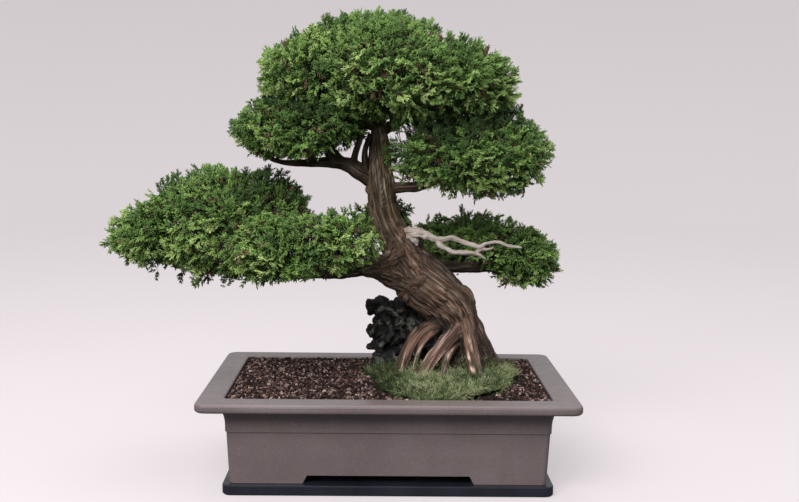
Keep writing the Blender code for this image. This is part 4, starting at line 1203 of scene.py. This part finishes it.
def make_litter(look):
    """Straws and dropped twigs on the soil."""
    rng = np.random.default_rng(47)
    points, _ = soil_points(STRAW_TRIES, 0.014, rng)
    points = points[clear_ground(points, "moss_carpet", "rock", "trunk")][:STRAW_COUNT]
    count = len(points)
    angle = rng.random(count) * 2 * math.pi
    reach = rng.uniform(0.004, 0.012, count)[:, None]
    line = np.stack([np.cos(angle), np.sin(angle), rng.uniform(-0.05, 0.12, count)], axis=1) * reach
    centre = points + UP * 0.0028
    verts = spindles(centre - line, centre + line, rng.uniform(0.0007, 0.0013, count), UP)
    tint = np.where(rng.random(count) < 0.3, rng.uniform(0.8, 0.97, count), rng.uniform(0.35, 0.75, count))
    # The second numbers are places on the grains' painted light: a straw is darker at its base and sides than
    # on top and at its tip.
    uv = tinted(tint[:, None] + SPINDLE_STEPS, [0.7, 0.75, 0.8, 0.75, 0.85])
    settle(mesh_object("soil_litter", verts.reshape(-1, 3), repeated(SPINDLE_FACES, 5, count), look, uv=uv),
           "soil")


def stray_tufts(rng):
    """Places on the soil just outside the cushion of moss, for tufts that break its edge."""
    points, normals = soil_points(STRAY_TRIES, 0.004, rng)
    low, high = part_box("moss_carpet")
    middle, half = (low + high) / 2, (high - low) / 2
    near = np.hypot((points[:, 0] - middle.x) / half.x, (points[:, 1] - middle.y) / half.y) < 1.45
    points, normals = points[near], normals[near]
    patch = noise(points / 0.011, 26) + 0.6 * noise(points / 0.004, 27)
    carpet = tree_of("moss_carpet")
    gap = np.array([carpet.find_nearest(Vector(point))[3] for point in points])
    chosen = (gap < 0.0035) | (patch > -0.3 + gap / 0.009)
    points, normals = points[chosen], normals[chosen]
    free = clear_ground(points, "moss_carpet", "rock", "trunk")
    return points[free][:STRAY_COUNT], normals[free][:STRAY_COUNT]


def make_moss(looks, climbing):
    """A bumpy cushion with a fur of short curved blades, which also climbs the roots."""
    rng = np.random.default_rng(53)
    cushion = bpy.data.objects.new("moss_rough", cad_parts["moss_carpet"].data.copy())
    bpy.context.scene.collection.objects.link(cushion)
    verts, normals, faces = remeshed(cushion, MOSS_VOXEL, 4)
    bumps = layered_noise(verts / 0.01, 3, 12)
    verts = verts + normals * np.clip(normals[:, 2:3], 0, 1) * (0.0016 * bumps - 0.0006)[:, None]
    settle(mesh_object("moss_cushion", verts, faces, looks["moss_base"]), "moss", "moss_carpet")

    corners = np.vstack([verts[faces][:, [0, 1, 2]], verts[faces][:, [0, 2, 3]]])
    fur, fur_normals = scatter(corners[unit(across_of(corners))[:, 2] > -0.3], FUR_TRIES, rng)
    keep = thinned(fur, BLADE_SPACING)[:FUR_COUNT]
    fur, fur_normals = fur[keep], fur_normals[keep]
    stray, stray_normals = stray_tufts(rng)
    hold, hold_normals = climbing
    patch = noise(hold / 0.01, 28)
    low = ease((0.033 + 0.03 * patch - (hold[:, 2] - RIM_Z)) / 0.014)
    chosen = rng.random(len(hold)) < 0.34 * low
    hold, hold_normals = hold[chosen][:CLIMB_COUNT], hold_normals[chosen][:CLIMB_COUNT]
    # The blades on the cushion are 0, the stray tufts 1 and those on the roots 2.
    where = np.repeat([0, 1, 2], (len(fur), len(stray), len(hold)))
    points = np.vstack([fur, stray, hold])
    normals = np.vstack([fur_normals, stray_normals, unit(hold_normals + 0.9 * UP)])
    count = len(points)
    outward = np.zeros((count, 3))
    outward[:, :2] = unit(points[:, :2] - TRUNK_FOOT)
    # Pale and lush in front and to the right, dark and thin to the left and behind, and at one foot of the
    # trunk thin and darkened as painted shadow.
    bright = ease((points[:, 0] - 0.004) / 0.036) * ease((0.05 - points[:, 1]) / 0.08)
    patch = noise(points / 0.02, 21) + 0.6 * noise(points / 0.008, 22)
    foot_thinning_and_painted_shadow = np.exp(-((points[:, 0] - 0.122) / 0.034) ** 2 - ((points[:, 1] + 0.062) / 0.024) ** 2)
    tint = 0.09 + 0.55 * bright - 0.48 * foot_thinning_and_painted_shadow + 0.43 * patch + rng.normal(size=count) * 0.19
    tint = np.clip(np.where(where == 0, tint, tint - 0.12), 0.03, 0.92)
    tint = np.where(rng.random(count) < 0.02, 0.985, tint)
    height = (0.0036 + 0.0056 * rng.random(count) ** 1.8) * (0.55 + 0.9 * ease(0.5 + patch))
    height *= np.array([1.0, 0.75, 0.85])[where] * (1 - 0.35 * foot_thinning_and_painted_shadow)
    # Neighbours lean together, so that the fur lies in tufts.
    comb = noise_vectors(points / 0.009, 23)
    lean = unit(normals + 0.3 * UP + 0.2 * outward + 1.5 * comb + rng.normal(size=(count, 3)) * 0.34)
    lean = unit(np.where(lean[:, 2:3] < 0.15, lean + [0, 0, 0.5], lean))
    curl = unit(outward * 0.6 + comb * 2 + rng.normal(size=(count, 3)) * 0.6) * 0.48
    across, other = random_turns(lean, rng)
    radius = rng.uniform(0.00026, 0.0005, count)
    rows = []
    for share, width in ((0.0, 1.0), (0.5, 0.85)):
        centre = points - lean * 0.0006 + (lean * share + curl * share ** 2) * height[:, None]
        rows += ring(centre, across, other, (radius * width)[:, None], 3)
    rows.append(points + (lean + curl) * height[:, None])
    steps = TINT_STEP * np.array([-1, 1, 0, -1, 1, 0, 0])
    uv = tinted(tint[:, None] + steps, [0.02, 0.02, 0.02, 0.5, 0.5, 0.5, 0.98])
    settle(mesh_object("moss_blades", np.stack(rows, axis=1).reshape(-1, 3), repeated(BLADE_FACES, 7, count),
                       looks["moss"], uv=uv), "moss")


# ---- stage, lights and camera
def make_stage():
    """A pale floor that curves up all round, far enough out for every view."""
    flat, curve, top, floor = 4.2, 1.4, 5.2, -0.0004
    profile = [(radius, floor) for radius in (0.001, 2.0, flat)]
    for k in range(1, 9):
        a = math.pi / 2 * k / 8
        profile.append((flat + curve * math.sin(a), curve * (1 - math.cos(a))))
    profile.append((flat + curve, top))
    verts = np.vstack([ring(UP * z, X_AXIS, Y_AXIS, radius, 96) for radius, z in profile])
    look = stage_look("backdrop_paper", (0.74, 0.68, 0.7), 0.66)
    backdrop = mesh_object("backdrop", verts, ring_faces(len(profile), 96, caps=False, turned=True), look)
    # It shows and takes shadows, but throws no light back, so the lights alone shape the part.
    for ray in ("diffuse", "glossy", "transmission", "shadow"):
        setattr(backdrop, f"visible_{ray}", False)


def make_lights():
    for name, place, size, power, colour in SOFTBOXES:
        light = bpy.data.lights.new(name, "AREA")
        light.shape = "RECTANGLE"
        light.size, light.size_y = size
        light.energy, light.color = power, colour
        obj = bpy.data.objects.new(name, light)
        obj.location = place
        obj.rotation_euler = (Vector((0.0, 0.0, 0.2)) - Vector(place)).to_track_quat("-Z", "Y").to_euler()
        bpy.context.scene.collection.objects.link(obj)
    # A dome that is bright above and dim below the horizon.
    world = bpy.context.scene.world = bpy.data.worlds.new("soft_dome")
    dome = Nodes(world, "Background")
    stops = [(0.0, 0.16), (0.44, 0.28), (0.56, 0.56), (0.9, 1.0)]
    dome.set("Color", dome.ramp(dome.grey(dome.axis(dome.place("Generated"), "Z"), -1.0, 1.0),
                                [(height, (0.96 * level, 0.98 * level, level)) for height, level in stops]))
    dome.set("Strength", 0.68)


def make_camera():
    """The photo's viewpoint, a little above the pot."""
    yaw, pitch, roll = (math.radians(angle) for angle in CAMERA_ANGLES)
    ahead = Vector((math.sin(yaw) * math.cos(pitch), math.cos(yaw) * math.cos(pitch), -math.sin(pitch)))
    level = Vector((math.cos(yaw), -math.sin(yaw), 0.0))
    upright = level.cross(ahead)
    right = level * math.cos(roll) + upright * math.sin(roll)
    up = upright * math.cos(roll) - level * math.sin(roll)
    camera = bpy.data.cameras.new("camera")
    camera.lens = CAMERA_LENS
    camera.sensor_width = 36.0
    obj = bpy.data.objects.new("camera", camera)
    turn = Matrix((right, up, -ahead)).transposed().to_4x4()
    obj.matrix_world = Matrix.Translation(CAMERA_PLACE) @ turn
    bpy.context.scene.collection.objects.link(obj)
    bpy.context.scene.camera = obj


# ---- the scene
def dress(look, *nodes):
    """Gives CAD nodes a finish in place of their plain one."""
    for node in nodes:
        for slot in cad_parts[node].material_slots:
            slot.material = look


def main():
    looks = {"bark": bark_look(), "twig": plain_look("twig_bark").material, "leaf": leaf_look(),
             "moss": moss_look(), "moss_base": plain_look("moss_base").material}
    dress(stoneware_look(), "pot")
    dress(slab_look(), "display_slab")
    dress(plain_look("screen_plastic").material, "drain_screen_left", "drain_screen_right")
    dress(grit_look(), "drainage_layer")
    dress(plain_look("earth").material, "soil")
    climbing = make_trunk(looks["bark"])
    for seed, name in enumerate(BRANCHES):
        make_branch(name, looks["bark"], 200 + seed)
    make_jin(deadwood_look())
    make_rock(rock_look())
    granule = granule_look()
    make_granules(granule)
    make_litter(granule)
    make_moss(looks, climbing)
    for seed, name in enumerate(PADS):
        make_pad(name, looks, 100 + seed)
    make_stage()
    make_lights()
    make_camera()
    bpy.context.scene.view_settings.view_transform = "Standard"


main()
